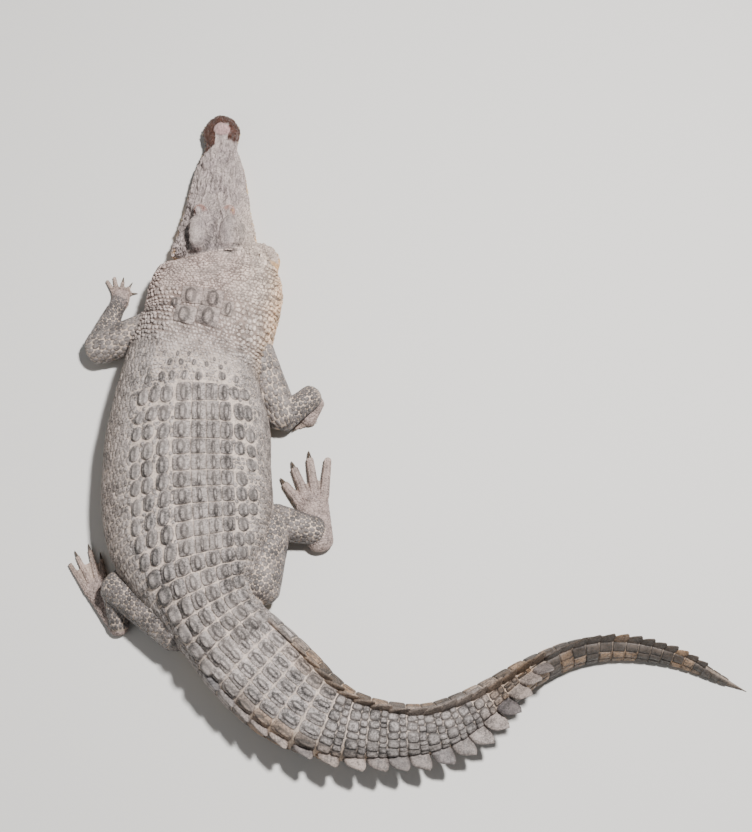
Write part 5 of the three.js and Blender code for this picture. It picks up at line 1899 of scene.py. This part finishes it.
teeth = {"first": 0.020, "last": 0.46, "count": 15, "length": 0.017, "radius": 0.0048, "inset": 0.0035}
bm = bmesh.new()
for i, toothBack in enumerate(np.linspace(teeth["first"], teeth["last"], teeth["count"])):
    half, mouth = headAt(toothBack, "half", "mouth")
    size = 0.75 + 0.35 * math.sin(i * 2.1) ** 2
    radius = teeth["radius"] * size
    for way in (-1, 1):
        tooth = bmesh.ops.create_cone(bm, cap_ends=True, segments=8, radius1=0.12, radius2=1, depth=1)
        place = headToWorld(toothBack, way * (half - teeth["inset"]), mouth + 0.003)
        for vert in tooth["verts"]:
            share = 0.5 - vert.co.z
            vert.co = (place[0] + vert.co.x * radius - way * share ** 2 * 0.003,
                       place[1] + vert.co.y * radius, place[2] - share * teeth["length"] * size + 0.002)
bmesh.ops.recalc_face_normals(bm, faces=bm.faces)
toothMesh = meshFrom(bm, "teeth")
toothMesh.shade_smooth()
toothMesh.materials.append(stainedFinish("toothEnamel", ((222, 208, 176), (168, 138, 96)), 160.0, 0.75,
                                         (0.22, 0.4), (0.25, 0.0005)))
toothPiece = placed("teeth", toothMesh)
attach(toothPiece, "root")
print("claws, eyes and teeth in place")

# Floor, light and camera.
studio = {
    "cameraPlace": (0.68354, -1.82989, 6.18187), "cameraTilt": 18.0, "lens": 75.0,
    "keyPlace": (2.6, 1.0, 7.2), "keySize": 0.6, "keyPower": 1370.0,
    "fillPlace": (-4.0, -3.0, 4.0), "fillSize": 4.0, "fillPower": 60.0,
    "lampsFace": (0.5, 0.1, 0.1), "roomLight": 0.21, "roomColor": (0.93, 0.96, 1.0, 1),
    "floorColor": (0.62, 0.60, 0.57, 1), "floorSize": 40.0,
}


def areaLight(name):
    light = bpy.data.lights.new(name, "AREA")
    light.energy, light.size = studio[name + "Power"], studio[name + "Size"]
    lamp = bpy.data.objects.new(name, light)
    bpy.context.scene.collection.objects.link(lamp)
    lamp.location = studio[name + "Place"]
    lamp.rotation_euler = (Vector(studio["lampsFace"]) - lamp.location).to_track_quat("-Z", "Y").to_euler()


areaLight("key")
areaLight("fill")
world = bpy.data.worlds.new("room")
world.use_nodes = True
roomShader = world.node_tree.nodes["Background"]
roomShader.inputs["Color"].default_value = studio["roomColor"]
roomShader.inputs["Strength"].default_value = studio["roomLight"]
bpy.context.scene.world = world

bm = bmesh.new()
bmesh.ops.create_grid(bm, x_segments=1, y_segments=1, size=studio["floorSize"] / 2)
floorMesh = meshFrom(bm, "floor")
floor = placed("floor", floorMesh)
floorFinish, _, floorShader = newFinish("paleFloor")
floorShader.inputs["Base Color"].default_value = studio["floorColor"]
floorShader.inputs["Roughness"].default_value = 0.8
floorMesh.materials.append(floorFinish)

lens = bpy.data.cameras.new("camera")
lens.lens, lens.sensor_width, lens.sensor_fit = studio["lens"], 36, "AUTO"
camera = bpy.data.objects.new("camera", lens)
bpy.context.scene.collection.objects.link(camera)
camera.location = studio["cameraPlace"]
camera.rotation_euler = (math.radians(studio["cameraTilt"]), 0, 0)
bpy.context.scene.camera = camera
